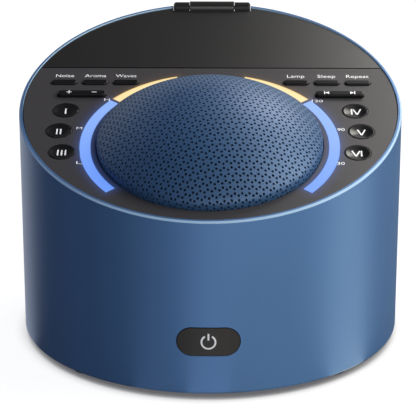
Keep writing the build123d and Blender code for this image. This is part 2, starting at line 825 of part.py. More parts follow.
def make_pill():
    """A short rounded button with a flange under the panel."""
    cap = soft_top(obround(pill_length, pill_width, flange_top, deck_top + pill_lift), cap_edge)
    lip = 2 * (button_gap + button_lip)
    flange = obround(pill_length + lip, pill_width + lip, flange_low, flange_top)
    return cap + flange + disc(stem_radius, stem_low, flange_low)


def make_round_button():
    """A round button, almost flush, dished for the fingertip, with a flange under the panel."""
    cap_top = deck_top + round_lift
    cap = soft_top(disc(round_diameter / 2, flange_top, cap_top), cap_edge / 2)
    cap -= Pos(0, 0, cap_top - dish_depth + dish_curve) * Sphere(dish_curve)
    flange = disc(round_diameter / 2 + button_gap + button_lip, flange_low, flange_top)
    return cap + flange + disc(stem_radius, stem_low, flange_low)


left_names = ["noise_button", "aroma_button", "waves_button"]
right_names = ["lamp_button", "sleep_button", "repeat_button"]
for name, (x, s) in zip(left_names, reversed(pill_spots)):
    parts[name] = on_deck(Pos(-x, s, 0) * make_pill())
for name, (x, s) in zip(right_names, pill_spots):
    parts[name] = on_deck(Pos(x, s, 0) * make_pill())
for index, (x, s) in enumerate(round_spots):
    parts[f"preset_button_{index + 1}"] = on_deck(Pos(-x, s, 0) * make_round_button())
    parts[f"preset_button_{index + 4}"] = on_deck(Pos(x, s, 0) * make_round_button())


# ---------------------------------------------------------------- rockers
def make_rocker():
    """A two-way button that tilts on a pin through the middle."""
    bottom = panel_low - rocker_depth
    cap = soft_top(obround(rocker_length, rocker_width, bottom, deck_top + rocker_lift), cap_edge)
    pin_length = lug_hole_length - 2 * pivot_end_gap
    cap += Pos(0, 0, pivot_n) * Cylinder(pivot_radius, pin_length, rotation=(90, 0, 0))
    stem_end = switch_top + rocker_reach * tan(radians(rocker_angle)) + press_slack
    for side in (-1, 1):
        cap += Pos(side * rocker_reach, 0, 0) * disc(stem_radius, stem_end, bottom)
    return cap


parts["volume_rocker"] = on_deck(Pos(-rocker_x, rocker_s, 0) * make_rocker())
parts["track_rocker"] = on_deck(Pos(rocker_x, rocker_s, 0) * make_rocker())

# ---------------------------------------------------------------- speaker
basket_top = frame_top + basket_flange_thickness
basket_floor = basket_top - basket_depth
plate_low = basket_floor - basket_floor_thickness - magnet_plate_thickness
magnet_low = plate_low - magnet_height
yoke_low = magnet_low - magnet_plate_thickness
pole_radius = coil_radius - coil_wall - pole_gap


def cone_shell(top_radius, bottom_radius, low, high, thickness):
    """A conical wall between two levels."""
    height = high - low
    outer = Pos(0, 0, (low + high) / 2) * Cone(bottom_radius, top_radius, height)
    inner = Pos(0, 0, (low + high) / 2) * Cone(bottom_radius - thickness, top_radius - thickness, height)
    return outer - inner


def make_basket():
    """The pressed steel basket with windows, from its flange down to its floor."""
    flange = tube(basket_radius, basket_opening - basket_wall, frame_top, basket_top)
    wall = cone_shell(basket_opening, basket_floor_radius, basket_floor, frame_top, basket_wall)
    floor_low = basket_floor - basket_floor_thickness
    floor = tube(basket_floor_radius, coil_radius + coil_room, floor_low, basket_floor)
    basket = flange + wall + floor
    window_angle = 360 / basket_windows
    window_half = basket_window_width / 2
    window_low = basket_floor + basket_window_low
    window_high = frame_top - basket_window_high
    window_start = basket_floor_radius - 2 * basket_wall
    window = block(window_start, reach, -window_half, window_half, window_low, window_high)
    for index in range(basket_windows):
        basket -= Rot(0, 0, (index + 0.5) * window_angle) * window
    screw_hole = disc(speaker_screw_radius + screw_gap, frame_top - past, basket_top + past)
    for x, s in speaker_screw_spots:
        basket -= Pos(x, s - ring_s, 0) * screw_hole
    return basket


def on_speaker(shape):
    """Moves a shape from the speaker's own axis to its place in the object."""
    return on_deck(Pos(0, ring_s, 0) * shape)


def make_surround():
    """The rubber half roll between the cone's edge and the basket."""
    roll_end = surround_outer - surround_outer_hem
    roll_start = surround_inner + surround_inner_hem
    roll_centre = (roll_start + roll_end) / 2
    roll_radius = (roll_end - roll_start) / 2
    high = basket_top + surround_thickness
    roll = Torus(roll_centre, roll_radius) - Torus(roll_centre, roll_radius - surround_thickness)
    half = Pos(0, 0, basket_top) * (roll & disc(reach, 0, reach))
    outer_hem = tube(surround_outer, roll_end - surround_thickness, basket_top, high)
    inner_hem = tube(roll_start + surround_thickness, surround_inner, basket_top, high)
    return half + outer_hem + inner_hem


def make_cone():
    """The paper cone with its dust cap and the voice coil's tube."""
    top = basket_top
    low = top - cone_depth
    paper = cone_shell(cone_radius, cone_neck_radius, low, top - cone_thickness, cone_wall)
    paper += tube(cone_radius, cone_radius - cone_rim_width, top - cone_thickness, top)
    neck = tube(cone_neck_radius, coil_radius - coil_wall, low, low + cone_thickness)
    former = tube(coil_radius, coil_radius - coil_wall, low - coil_length, low + cone_thickness)
    cap_drop = sqrt(dust_cap_curve**2 - cone_neck_radius**2)
    cap = Sphere(dust_cap_curve) - Sphere(dust_cap_curve - cone_thickness)
    cap = Pos(0, 0, low + cone_thickness - cap_drop) * cap & disc(cone_neck_radius, low, top)
    return paper + neck + former + cap


def make_spider():
    """The corrugated disc that centres the voice coil."""
    level = basket_floor + spider_height
    ridge_level = level + spider_thickness
    ring = tube(spider_outer, coil_radius + spider_coil_gap, level, ridge_level)
    for radius in spider_ridges:
        ridge = Torus(radius, spider_ridge_radius) - Torus(radius, spider_ridge_radius - spider_ridge_wall)
        ring += Pos(0, 0, ridge_level) * (ridge & disc(reach, 0, reach))
    ring += tube(spider_outer, spider_outer - spider_thickness, basket_floor, level)
    return ring


parts["speaker_basket"] = on_speaker(make_basket())
floor_low = basket_floor - basket_floor_thickness
plate_hole = coil_radius + pole_gap
parts["speaker_top_plate"] = on_speaker(tube(magnet_plate_radius, plate_hole, plate_low, floor_low))
parts["speaker_magnet"] = on_speaker(tube(magnet_radius, magnet_hole_radius, magnet_low, plate_low))
yoke = disc(magnet_plate_radius, yoke_low, magnet_low) + disc(pole_radius, yoke_low, floor_low)
parts["speaker_yoke"] = on_speaker(yoke)
parts["speaker_cone"] = on_speaker(make_cone())
parts["speaker_surround"] = on_speaker(make_surround())
parts["speaker_spider"] = on_speaker(make_spider())
speaker_screw_length = basket_flange_thickness + frame_thickness
speaker_screw = screw(speaker_screw_radius, speaker_head_radius, speaker_head_height, speaker_screw_length)
speaker_screw = Pos(0, 0, basket_top) * Rot(180, 0, 0) * speaker_screw
parts["speaker_screws"] = group([on_deck(Pos(x, s, 0) * speaker_screw) for x, s in speaker_screw_spots])

# ---------------------------------------------------------------- scent bay
bay_floor = -bay_depth
bay_low = bay_floor - bay_wall
tray_floor_top = bay_floor + tray_wall
outlet_bottom = tray_floor_top + pad_height + pad_gap
fan_top = bay_low - fan_post_height
fan_low = fan_top - fan_height
fan_hole_place = fan_hole_pitch / 2
fan_corner_offsets = [(dx * fan_hole_place, ds * fan_hole_place) for dx in (-1, 1) for ds in (-1, 1)]


def make_diffuser_tub():
    """The tray under the lid: a deck with a deep bay, a rib to the frame and screw bosses."""
    tub = slab(rib_radius, tub_top - tub_thickness, tub_top)
    tub += slab(rib_radius, frame_top, tub_top) - upright(rib_radius - rib_width)
    tub += slab(rib_radius, frame_top, tub_top) & deck_part(lid_start, lid_start + rib_width)
    tub &= deck_part(lid_start, reach)
    for x, s in tub_boss_spots:
        tub += on_deck(Pos(x, s, 0) * disc(boss_radius, frame_top, tub_top))
    screw_hole = disc(screw_radius + screw_gap, frame_top - past, tub_top - blind_end)
    for x, s in tub_boss_spots:
        tub -= on_deck(Pos(x, s, 0) * screw_hole)
    length = bay_length / 2
    width = bay_width / 2
    bay = block(-bay_half, bay_half, -bay_half_width, bay_half_width, bay_low, tub_top)
    hollow = block(-length, length, -width, width, bay_floor, tub_top + past)
    vent = disc(bay_vent_radius, bay_low - past, bay_floor + past)
    spoke = block(-reach, reach, -vent_spoke_width / 2, vent_spoke_width / 2, bay_low, bay_floor)
    vent -= spoke + Rot(0, 0, 90) * spoke
    tub += on_deck(Pos(0, bay_s, 0) * bay)
    tub -= on_deck(Pos(0, bay_s, 0) * (hollow + vent))
    half = outlet_slot_width / 2
    slot = block(-half, half, bay_s, reach, outlet_bottom, tub_top - tub_thickness - outlet_web)
    for index in range(outlet_slots):
        tub -= on_deck(Pos((index - (outlet_slots - 1) / 2) * outlet_slot_pitch, 0, 0) * slot)
    tub -= block(-seat_room, seat_room, bracket_clear_y, reach, 0, reach)
    wall_half = seat_room + rib_width
    rear_wall = block(-wall_half, wall_half, bracket_clear_y - rib_width, bracket_clear_y, 0, reach)
    tub += rear_wall & slab(rib_radius, frame_top, tub_top)
    post = disc(fan_post_radius, fan_top, bay_low)
    pilot = disc(screw_radius + screw_gap, fan_top - past, bay_low + fan_screw_bite + fan_pilot_end)
    for dx, ds in fan_corner_offsets:
        tub += on_deck(Pos(dx, bay_s + ds, 0) * post)
        tub -= on_deck(Pos(dx, bay_s + ds, 0) * pilot)
    return tub


parts["diffuser_tub"] = make_diffuser_tub()


def make_pad_tray():
    """The lift-out tray that holds the pad over the air vent."""
    length = bay_length / 2 - tray_gap
    width = bay_width / 2 - tray_gap
    inner_length = length - tray_wall
    inner_width = width - tray_wall
    top = bay_floor + tray_height
    tray = block(-length, length, -width, width, bay_floor, top)
    tray -= block(-inner_length, inner_length, -inner_width, inner_width, tray_floor_top, top + past)
    half = tray_slot / 2
    end = width - tray_slot_margin
    slot = block(-half, half, -end, end, bay_floor - past, tray_floor_top + past)
    for index in range(tray_slots):
        tray -= Pos((index - (tray_slots - 1) / 2) * 2 * inner_length / tray_slots, 0, 0) * slot
    return Pos(0, bay_s, 0) * tray


parts["pad_tray"] = on_deck(make_pad_tray())
pad_half = bay_length / 2 - tray_gap - tray_wall - pad_gap
pad_half_width = bay_width / 2 - tray_gap - tray_wall - pad_gap
pad_top = tray_floor_top + pad_height
pad = block(-pad_half, pad_half, -pad_half_width, pad_half_width, tray_floor_top, pad_top)
pad = fillet(pad.edges().filter_by(Axis.Z), pad_corner)
parts["aroma_pad"] = on_deck(Pos(0, bay_s, 0) * pad)


# ---------------------------------------------------------------- fan
def on_fan(shape):
    """Moves a shape from the fan's own axis to its place in the object."""
    return on_deck(Pos(0, bay_s, 0) * shape)


def make_fan_housing():
    """The square fan frame with its motor base, three struts and the fixed shaft."""
    half = fan_size / 2
    body = fillet(block(-half, half, -half, half, fan_low, fan_top).edges().filter_by(Axis.Z), fan_corner)
    body -= disc(fan_bore_radius, fan_low - past, fan_top + past)
    body += disc(fan_hub_radius, fan_low, fan_low + fan_base_height)
    strut_half = fan_strut_width / 2
    strut_end = fan_bore_radius + boss_merge
    strut = block(0, strut_end, -strut_half, strut_half, fan_low, fan_low + fan_base_height)
    for angle in (90, 210, 330):
        body += Rot(0, 0, angle) * strut
    body += disc(fan_shaft_radius, fan_low, fan_top - fan_shaft_drop)
    for dx, ds in fan_corner_offsets:
        body -= Pos(dx, ds, 0) * disc(screw_radius + hole_gap, fan_low - past, fan_top + past)
    return body


def make_fan_rotor():
    """The hub and its slanted blades, bored to run on the shaft."""
    low = fan_low + fan_base_height + fan_rotor_gap
    high = fan_top - fan_rotor_drop
    rotor = disc(fan_hub_radius, low, high)
    tip = fan_bore_radius - fan_blade_gap
    root = fan_hub_radius - blade_merge
    blade = Rot(fan_blade_twist, 0, 0) * Box(tip, fan_blade_chord, fan_blade_thickness)
    blade = Pos(root + tip / 2, 0, (low + high) / 2) * blade & tube(tip, root, low, high)
    for index in range(fan_blades):
        rotor += Rot(0, 0, 360 * index / fan_blades) * blade
    hole_end = fan_top - fan_shaft_drop + fan_shaft_end_gap
    return rotor - disc(fan_shaft_radius + pivot_gap, low - past, hole_end)


parts["fan_housing"] = on_fan(make_fan_housing())
parts["fan_rotor"] = on_fan(make_fan_rotor())
fan_screw_length = fan_height + fan_post_height + fan_screw_bite
fan_screw = screw(screw_radius, screw_head_radius, screw_head_height, fan_screw_length)
parts["fan_screws"] = group([on_fan(Pos(dx, ds, fan_low) * fan_screw) for dx, ds in fan_corner_offsets])


# ---------------------------------------------------------------- lid and hinge
def hinge_bar(radius, start, end):
    """A round bar on the hinge's axis between two places along X."""
    return Pos((start + end) / 2, hinge_y, hinge_z) * Cylinder(radius, end - start, rotation=(0, 90, 0))


def make_lid():
    """The rear part of the deck with the hinge's middle knuckle."""
    lid = slab(deck_radius, lid_low, deck_top) & deck_part(lid_start, reach)
    relief = hinge_y - side_knuckle_radius - hinge_clearance
    for side in (-1, 1):
        ends = sorted((side * knuckle_half, side * notch_half))
        lid -= block(ends[0], ends[1], relief, reach, 0, reach)
    lid -= block(-knuckle_half, knuckle_half, hinge_y, reach, 0, reach)
    lid += hinge_bar(knuckle_radius, -knuckle_half, knuckle_half)
    lid &= upright(body_radius + knuckle_proud)
    return lid - hinge_bar(pin_radius + pin_gap, -knuckle_half - past, knuckle_half + past)


def make_hinge_bracket():
    """The plate inside the rear wall that carries the hinge's two outer knuckles."""
    bracket = block(-bracket_half, bracket_half, bracket_front, seat_y, seat_low, bridge_high)
    back = hinge_y + side_knuckle_radius
    for side in (-1, 1):
        start, end = sorted((side * side_knuckle_start, side * side_knuckle_end))
        bridge = block(start, end, bracket_front, back, bridge_low, bridge_high)
        arm = block(start, end, hinge_y - side_knuckle_radius, back, bridge_low, hinge_z)
        knuckle = hinge_bar(side_knuckle_radius, start, end)
        outer_end = max(knuckle.edges().filter_by(GeomType.CIRCLE), key=lambda edge: abs(edge.center().X))
        bracket += bridge + arm + chamfer(outer_end, knuckle_chamfer)
    bracket &= upright(body_radius + knuckle_proud)
    bracket -= hinge_bar(pin_radius + pin_gap, -pin_half - pin_end_gap, pin_half + pin_end_gap)
    for x in (-bracket_screw_x, bracket_screw_x):
        hole = Cylinder(screw_radius + hole_gap, bracket_thickness + 2 * past, rotation=(90, 0, 0))
        bracket -= Pos(x, seat_y - bracket_thickness / 2, bracket_screw_z) * hole
    return bracket


parts["aroma_lid"] = make_lid()
parts["hinge_bracket"] = make_hinge_bracket()
parts["hinge_pin"] = hinge_bar(pin_radius, -pin_half, pin_half)
bracket_screw_length = bracket_thickness + bracket_screw_bite
bracket_screw = screw(screw_radius, screw_head_radius, screw_head_height, bracket_screw_length)
bracket_screw = Pos(0, bracket_front, bracket_screw_z) * Rot(-90, 0, 0) * bracket_screw
parts["bracket_screws"] = group([Pos(side * bracket_screw_x, 0, 0) * bracket_screw for side in (-1, 1)])

# ---------------------------------------------------------------- power button
power_cap_length = power_length - 2 * power_gap
power_cap_width = power_width - 2 * power_gap


def make_power_button():
    """A long rounded cap that follows the drum, with a curved flange inside the wall."""
    flange_outer = inner_radius - cover_gap
    cap = at_front(obround(power_cap_length, power_cap_width, 0, reach))
    cap &= upright(body_radius + power_proud) - upright(flange_outer - power_flange / 2)
    lip_length = power_length + 2 * power_lip
    lip_width = power_width + 2 * power_lip
    flange = at_front(obround(lip_length, lip_width, 0, reach))
    flange &= upright(flange_outer) - upright(flange_outer - power_flange)
    stem_end = power_switch_y + switch_height + power_travel + press_slack
    stem = at_front(disc(2 * stem_radius, stem_end, flange_outer - power_flange / 2))
    return cap + flange + stem


parts["power_button"] = make_power_button()


def make_power_board():
    """The small board behind the power button, screwed to the two posts."""
    half_length = power_board_length / 2
    half_width = power_board_width / 2
    back = power_board_y + board_thickness
    board = block(-half_length, half_length, -half_width, half_width, power_board_y, back)
    for x in (-power_post_x, power_post_x):
        board -= Pos(x, 0, 0) * disc(screw_radius + hole_gap, power_board_y - past, back + past)
    return board


parts["power_board"] = at_front(make_power_board())
power_screw = screw(screw_radius, screw_head_radius, screw_head_height, board_thickness + power_screw_bite)
power_screw_places = [Pos(x, 0, power_board_y) for x in (-power_post_x, power_post_x)]
parts["power_screws"] = group([at_front(place * power_screw) for place in power_screw_places])

# ---------------------------------------------------------------- main board and power inlet
socket_front = body_radius - plug_recess_depth


def make_main_board():
    """The board on the base's standoffs, with a tab that reaches the power inlet."""
    half = main_board_length / 2
    tab_half = main_board_tab / 2
    tab_end = socket_front - inlet_wall - board_gap
    board = block(-half, half, main_board_front, main_board_back, main_board_low, main_board_top)
    board += block(-tab_half, tab_half, main_board_back - past, tab_end, main_board_low, main_board_top)
    for x, y in standoff_spots:
        board -= Pos(x, y, 0) * disc(screw_radius + hole_gap, main_board_low - past, main_board_top + past)
    return board


parts["main_board"] = make_main_board()
board_screw = screw(screw_radius, screw_head_radius, screw_head_height, board_thickness + board_screw_bite)
board_screw = Pos(0, 0, main_board_top) * Rot(180, 0, 0) * board_screw
parts["board_screws"] = group([Pos(x, y, 0) * board_screw for x, y in standoff_spots])


def make_usb_socket():
    """The metal socket with its tongue, drawn along Z with its mouth at the web's face."""
    back = socket_front - socket_depth
    socket = obround(socket_width, socket_height, back, socket_front)
    inner_width = socket_width - 2 * socket_wall
    inner_height = socket_height - 2 * socket_wall
    socket -= obround(inner_width, inner_height, back + socket_back, reach)
    tongue_half = tongue_width / 2
    tongue_low = -tongue_thickness / 2
    tongue_start = back + socket_back / 2
    tongue_end = socket_front - tongue_inset
    return socket + block(-tongue_half, tongue_half, tongue_low, -tongue_low, tongue_start, tongue_end)


parts["usb_socket"] = Pos(0, 0, inlet_height) * Rot(-90, 0, 0) * make_usb_socket()


def make_board_parts():
    """Chips, a coil, capacitors and plug-in headers on the main board."""
    pieces = [Pos(x, y, height / 2) * Box(length, width, height) for x, y, length, width, height in chips]
    pieces += [Pos(x, y, 0) * disc(capacitor_radius, 0, capacitor_height) for x, y in capacitor_places]
    header = Box(header_length, header_width, header_height)
    pieces += [Pos(x, header_y, header_height / 2) * header for x in header_places]
    ribbon_header = Box(ribbon_width + 2 * ribbon_room, ribbon_header_width, header_height)
    pieces.append(Pos(0, ribbon_header_y, header_height / 2) * ribbon_header)
    return group([Pos(0, 0, main_board_top) * piece for piece in pieces])


parts["board_parts"] = make_board_parts()


# ---------------------------------------------------------------- cables inside
def corner_radii(points):
    """Radius of the bend at each inner point of a route, as large as its two runs allow."""
    radii = []
    for before, here, after in zip(points, points[1:], points[2:]):
        first = Vector(*here) - Vector(*before)
        second = Vector(*after) - Vector(*here)
        turn = first.get_angle(second)
        radii.append(bend_share * min(first.length, second.length) / tan(radians(turn / 2)))
    return radii


def lead(points):
    """A round lead along a route of straight runs and tangent bends."""
    radii = corner_radii(points)
    print("lead bends", [round(radius, 1) for radius in radii])
    path = FilletPolyline(*points, radius=radii)
    start = Plane(origin=path @ 0, z_dir=path % 0)
    return sweep(start * Circle(lead_radius), path=path)


def deck_point(x, s, n):
    """A point given in deck coordinates, as a place on the object."""
    return tuple(deck.from_local_coords((x, s, n)))


ribbon_top = deck_point(0, ribbon_s, frame_top)
ribbon_exit = deck_point(0, ribbon_s, frame_low - 7)
ribbon_points = [
    ribbon_top[1:],
    ribbon_exit[1:],
    (19.0, 50.0),
    (ribbon_header_y, 33.0),
    (ribbon_header_y, main_board_top + header_height),
]


def make_ribbon():
    """The flat cable between the two boards, through the slot in the frame."""
    path = FilletPolyline(*ribbon_points, radius=corner_radii([(y, z, 0) for y, z in ribbon_points]))
    strip = trace(path, ribbon_thickness)
    return Plane.YZ.offset(-ribbon_width / 2) * extrude(strip, ribbon_width)


parts["ribbon_cable"] = make_ribbon()

header_end = main_board_top + header_height
speaker_exit = deck_point(basket_floor_radius + 0.3, ring_s, basket_floor - basket_floor_thickness / 2)
speaker_route = [
    speaker_exit,
    (27.0, speaker_exit[1], speaker_exit[2]),
    (30.0, -11.0, 37.0),
    (21.0, 1.0, 29.0),
    (header_places[2], header_y, header_end + 8),
    (header_places[2], header_y, header_end),
]
fan_exit = deck_point(-fan_size / 2, bay_s, fan_low + 2)
fan_route = [
    fan_exit,
    (-21.5, fan_exit[1], fan_exit[2]),
    (-25.0, 36.0, 50.0),
    (-20.0, 22.0, 36.0),
    (header_places[1], header_y, header_end + 9),
    (header_places[1], header_y, header_end),
]
power_route = [
    (-8.0, -power_board_y, power_height + 3),
    (-8.0, -44.0, power_height + 3),
    (-13.0, -32.0, 16.0),
    (-18.0, -18.0, 12.0),
    (header_places[0], -6.0, main_board_top + header_height / 2),
    (header_places[0], header_y - header_width / 2, main_board_top + header_height / 2),
]
parts["inner_leads"] = group([lead(speaker_route), lead(fan_route), lead(power_route)])

# ---------------------------------------------------------------- one STEP file for each sub-part
os.makedirs("parts", exist_ok=True)
for name, shape in parts.items():
    export_step(shape, f"parts/{name}.step")
print(len(parts), "sub-parts")
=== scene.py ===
import bpy
import json
from math import asin, cos, exp, pi, radians, sin, sqrt
from mathutils import Matrix, Vector


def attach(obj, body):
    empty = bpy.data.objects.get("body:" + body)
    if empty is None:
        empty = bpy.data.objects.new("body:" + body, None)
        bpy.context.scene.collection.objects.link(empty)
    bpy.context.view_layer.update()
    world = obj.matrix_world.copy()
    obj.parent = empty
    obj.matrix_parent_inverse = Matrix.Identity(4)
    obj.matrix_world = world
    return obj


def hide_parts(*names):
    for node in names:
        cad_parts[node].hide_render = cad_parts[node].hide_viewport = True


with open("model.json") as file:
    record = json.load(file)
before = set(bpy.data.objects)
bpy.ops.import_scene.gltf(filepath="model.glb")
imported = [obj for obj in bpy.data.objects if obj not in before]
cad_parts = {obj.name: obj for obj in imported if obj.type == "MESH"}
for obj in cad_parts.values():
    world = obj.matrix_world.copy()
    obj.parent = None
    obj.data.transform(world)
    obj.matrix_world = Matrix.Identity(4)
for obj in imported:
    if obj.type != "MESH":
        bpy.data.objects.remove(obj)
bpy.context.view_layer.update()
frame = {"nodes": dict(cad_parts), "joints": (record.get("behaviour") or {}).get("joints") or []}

# ---------------------------------------------------------------- outer shell
# The drum is one moulded tube, cut off at a slant, sprayed with satin metallic blue paint.
# Its chamfered upper edge has a painted highlight: a paler, plain colour, so it shows as a thin light
# line.
mm = 0.001
deck_axis = next(joint["axis"] for joint in frame["joints"] if joint["name"] == "fan_spin")
normal_of_deck = Vector(deck_axis)
deck_tilt = asin(-normal_of_deck.y)
rim_height = 80.65 * mm            # of the rim's plane, on the drum's axis
chamfer_depth = 0.6 * mm
paint_blue = (0.070, 0.166, 0.360, 1)
paint_deep = (0.059, 0.145, 0.325, 1)
# the colour of the highlight painted on the rim's chamfer
rim_highlight_colour = (0.30, 0.45, 0.61, 1)
flake_size = 0.35 * mm
shell_cloud = 18 * mm
peel_size = 1.6 * mm
peel_height = 0.012 * mm


class Wire:
    """A value on its way through a material's nodes. Arithmetic on it adds Math nodes."""

    def __init__(self, tree, socket=None):
        self.tree = tree
        self.socket = socket

    def node(self, kind, settings, sockets, output=0):
        """Adds any node: its settings first, then the values or wires of its sockets."""
        made = self.tree.nodes.new("ShaderNode" + kind)
        for name, value in settings.items():
            setattr(made, name, value)
        for name, value in sockets.items():
            self.feed(made.inputs[name], value)
        return Wire(self.tree, made.outputs[output])

    def feed(self, socket, value):
        """Puts a number, a colour or a wire into a socket."""
        if isinstance(value, Wire):
            self.tree.links.new(value.socket, socket)
        else:
            socket.default_value = value

    def math(self, operation, *values):
        """A Math node on these values, in this order."""
        return self.node("Math", {"operation": operation}, dict(enumerate(values)))

    def __add__(self, other):
        return self.math("ADD", self, other)

    def __radd__(self, other):
        return self.math("ADD", other, self)

    def __sub__(self, other):
        return self.math("SUBTRACT", self, other)

    def __rsub__(self, other):
        return self.math("SUBTRACT", other, self)

    def __mul__(self, other):
        return self.math("MULTIPLY", self, other)

    def __rmul__(self, other):
        return self.math("MULTIPLY", other, self)

    def __truediv__(self, other):
        return self.math("DIVIDE", self, other)

    def above(self, low, high):
        """0 below one value of this wire, 1 above another, and a soft step in between."""
        settings = {"interpolation_type": "SMOOTHSTEP"}
        return self.node("MapRange", settings, {"Value": self, "From Min": low, "From Max": high})

    def blend(self, first, second):
        """One colour where this wire is 0, another where it is 1."""
        sockets = {"Factor": self, 6: first, 7: second}
        return self.node("Mix", {"data_type": "RGBA"}, sockets, 2)

    def noise(self, size, detail=2.0, roughness=0.5):
        """Even noise from 0 to 1 on these coordinates, with lumps of about one size."""
        sockets = {"Vector": self, "Scale": 1 / size, "Detail": detail, "Roughness": roughness}
        return self.node("TexNoise", {}, sockets)

    def bump(self, height, distance, strength=1.0):
        """Turns a height into a normal."""
        return self.node("Bump", {}, {"Height": height, "Distance": distance, "Strength": strength})


class Finish:
    """One material with a Principled shader, and the object coordinates for its patterns."""

    def __init__(self, name, **constants):
        self.material = bpy.data.materials.new(name)
        self.material.use_nodes = True
        tree = self.material.node_tree
        self.shader = tree.nodes["Principled BSDF"]
        self.place = Wire(tree).node("TexCoord", {}, {}, "Object")
        self.set(**constants)

    def set(self, **sockets):
        """Feeds the shader's sockets by name, with an underscore for each space."""
        for name, value in sockets.items():
            self.place.feed(self.shader.inputs[name.replace("_", " ")], value)

    def axes(self):
        """The three object coordinates as separate wires."""
        sockets = {"Vector": self.place}
        return [self.place.node("SeparateXYZ", {}, sockets, index) for index in range(3)]

    def along(self, direction):
        """How far a point lies along a direction."""
        sockets = {0: self.place, 1: tuple(direction)}
        return self.place.node("VectorMath", {"operation": "DOT_PRODUCT"}, sockets, 1)


def dress(finish, *names):
    """Gives CAD nodes a finish."""
    for name in names:
        for slot in frame["nodes"][name].material_slots:
            slot.material = finish.material


def metallic_coat(finish, cloud_size, deep, light):
    """The flakes of a sprayed coat, and its colour, which shifts with flakes and thickness."""
    flake = finish.place.noise(flake_size, 1.0)
    cloud = finish.place.noise(cloud_size, 3.0)
    return flake, (flake * 0.7 + cloud * 0.5 - 0.1).blend(deep, light)


shell_paint = Finish("satin blue metallic paint")
flake, coat = metallic_coat(shell_paint, shell_cloud, paint_deep, paint_blue)
below_rim = rim_height * normal_of_deck.z - shell_paint.along(normal_of_deck)
below_chamfer = below_rim.above(chamfer_depth * 0.85, chamfer_depth)
# edge: the chamfer's face, where the paler colour is painted on as a highlight
edge = below_rim.above(0.02 * mm, 0.08 * mm) * (1 - below_chamfer)
peel = shell_paint.place.noise(peel_size, 2.0)
shell_paint.set(
    Base_Color=edge.blend(coat, rim_highlight_colour),
    Metallic=0.5 - edge * 0.5,
    Roughness=0.39 + flake * 0.06 + edge * 0.25,
    Normal=shell_paint.place.bump(peel, peel_height, 0.5),
)
dress(shell_paint, "outer_shell")

# ---------------------------------------------------------------- control panel
# The front two thirds of the deck: a flat charcoal moulding with a fine spark texture. A glow of
# the lit arcs is painted on it, in its own emission, as they would shine through a frosted guide's edge.
deck_place = Matrix.Translation((0, 0, rim_height)) @ Matrix.Rotation(deck_tilt, 4, "X")
slope_of_deck = Vector((0, cos(deck_tilt), sin(deck_tilt)))
ring_s = -23.5 * mm                # centre of the dome and of the arcs, down the slope
arc_inner = 39.65 * mm
arc_outer = 43.1 * mm
blue_span = (radians(50.0), radians(127.5))      # from the front of the ring, on each side
amber_span = (radians(129.2), radians(164.0))
charcoal = (0.042, 0.0395, 0.0425, 1)
charcoal_dark = (0.034, 0.0320, 0.0345, 1)
spark_size = 0.22 * mm
spark_depth = 0.01 * mm
blue_glow = (0.10, 0.26, 1.0, 1)
amber_glow = (1.0, 0.55, 0.16, 1)
# strengths of the glow painted on the panel around each arc
blue_spill = 0.16
amber_spill = 0.06
glow_reach = 1.3 * mm


def ring_axes(finish):
    """Distance from the ring's centre in the deck's plane, and the angle from its front."""
    x = finish.axes()[0]
    s = finish.along(slope_of_deck) - (rim_height * slope_of_deck.z + ring_s)
    away = x.math("SQRT", x * x + s * s)
    angle = x.math("ARCTAN2", x.math("ABSOLUTE", x), -1 * s)
    return away, angle


def beside_arc(away, angle, span):
    """Distance from a point on the deck to a stretch of the ring."""
    middle = (span[0] + span[1]) / 2
    half = (span[1] - span[0]) / 2
    radial = away.math("MAXIMUM", arc_inner - away, away - arc_outer)
    radial = away.math("MAXIMUM", radial, 0.0)
    along = away.math("ABSOLUTE", angle - middle) - half
    along = away.math("MAXIMUM", along, 0.0) * away
    return away.math("SQRT", radial * radial + along * along)


def shine(away, angle, span):
    """How much of an arc's painted glow lies on a point of the deck."""
    return away.math("EXPONENT", beside_arc(away, angle, span) / -glow_reach)


def spark_texture(finish, grain, depth):
    """The fine even grain of a spark-eroded mould."""
    height = finish.place.noise(grain, 2.0, 0.6)
    finish.set(Normal=finish.place.bump(height, depth, 0.6))
    return height


deck_plastic = Finish("satin charcoal plastic", Emission_Strength=1.0, Specular_IOR_Level=0.28)
grain = spark_texture(deck_plastic, spark_size, spark_depth)
away, angle = ring_axes(deck_plastic)
# the panel's own emission: a painted glow around the blue and the warm arcs
painted_blue_glow = (shine(away, angle, blue_span) * blue_spill).blend((0, 0, 0, 1), blue_glow)
deck_plastic.set(
    Base_Color=grain.blend(charcoal_dark, charcoal),
    Roughness=0.36 + grain * 0.06,
    Emission_Color=(shine(away, angle, amber_span) * amber_spill).blend(painted_blue_glow, amber_glow),
)
dress(deck_plastic, "control_panel")

# ---------------------------------------------------------------- scent lid and hinge
# The rear third of the deck is a lid of the same plastic, darker and glossier, that swings on
# a steel pin between two knuckles of a bracket inside the rear wall.
lid_dark = (0.0075, 0.0069, 0.0076, 1)
lid_light = (0.0115, 0.0106, 0.0116, 1)
hinge_dark = (0.012, 0.012, 0.013, 1)
hinge_light = (0.02, 0.019, 0.021, 1)

lid_plastic = Finish("satin charcoal lid", Specular_IOR_Level=0.7)
grain = spark_texture(lid_plastic, spark_size, spark_depth)
lid_plastic.set(Base_Color=grain.blend(lid_dark, lid_light), Roughness=0.29 + grain * 0.05)
dress(lid_plastic, "aroma_lid")

hinge_plastic = Finish("black hinge plastic", Specular_IOR_Level=0.2)
grain = spark_texture(hinge_plastic, 0.5 * mm, 0.006 * mm)
hinge_plastic.set(Base_Color=grain.blend(hinge_dark, hinge_light), Roughness=0.26 + grain * 0.08)
dress(hinge_plastic, "hinge_bracket")


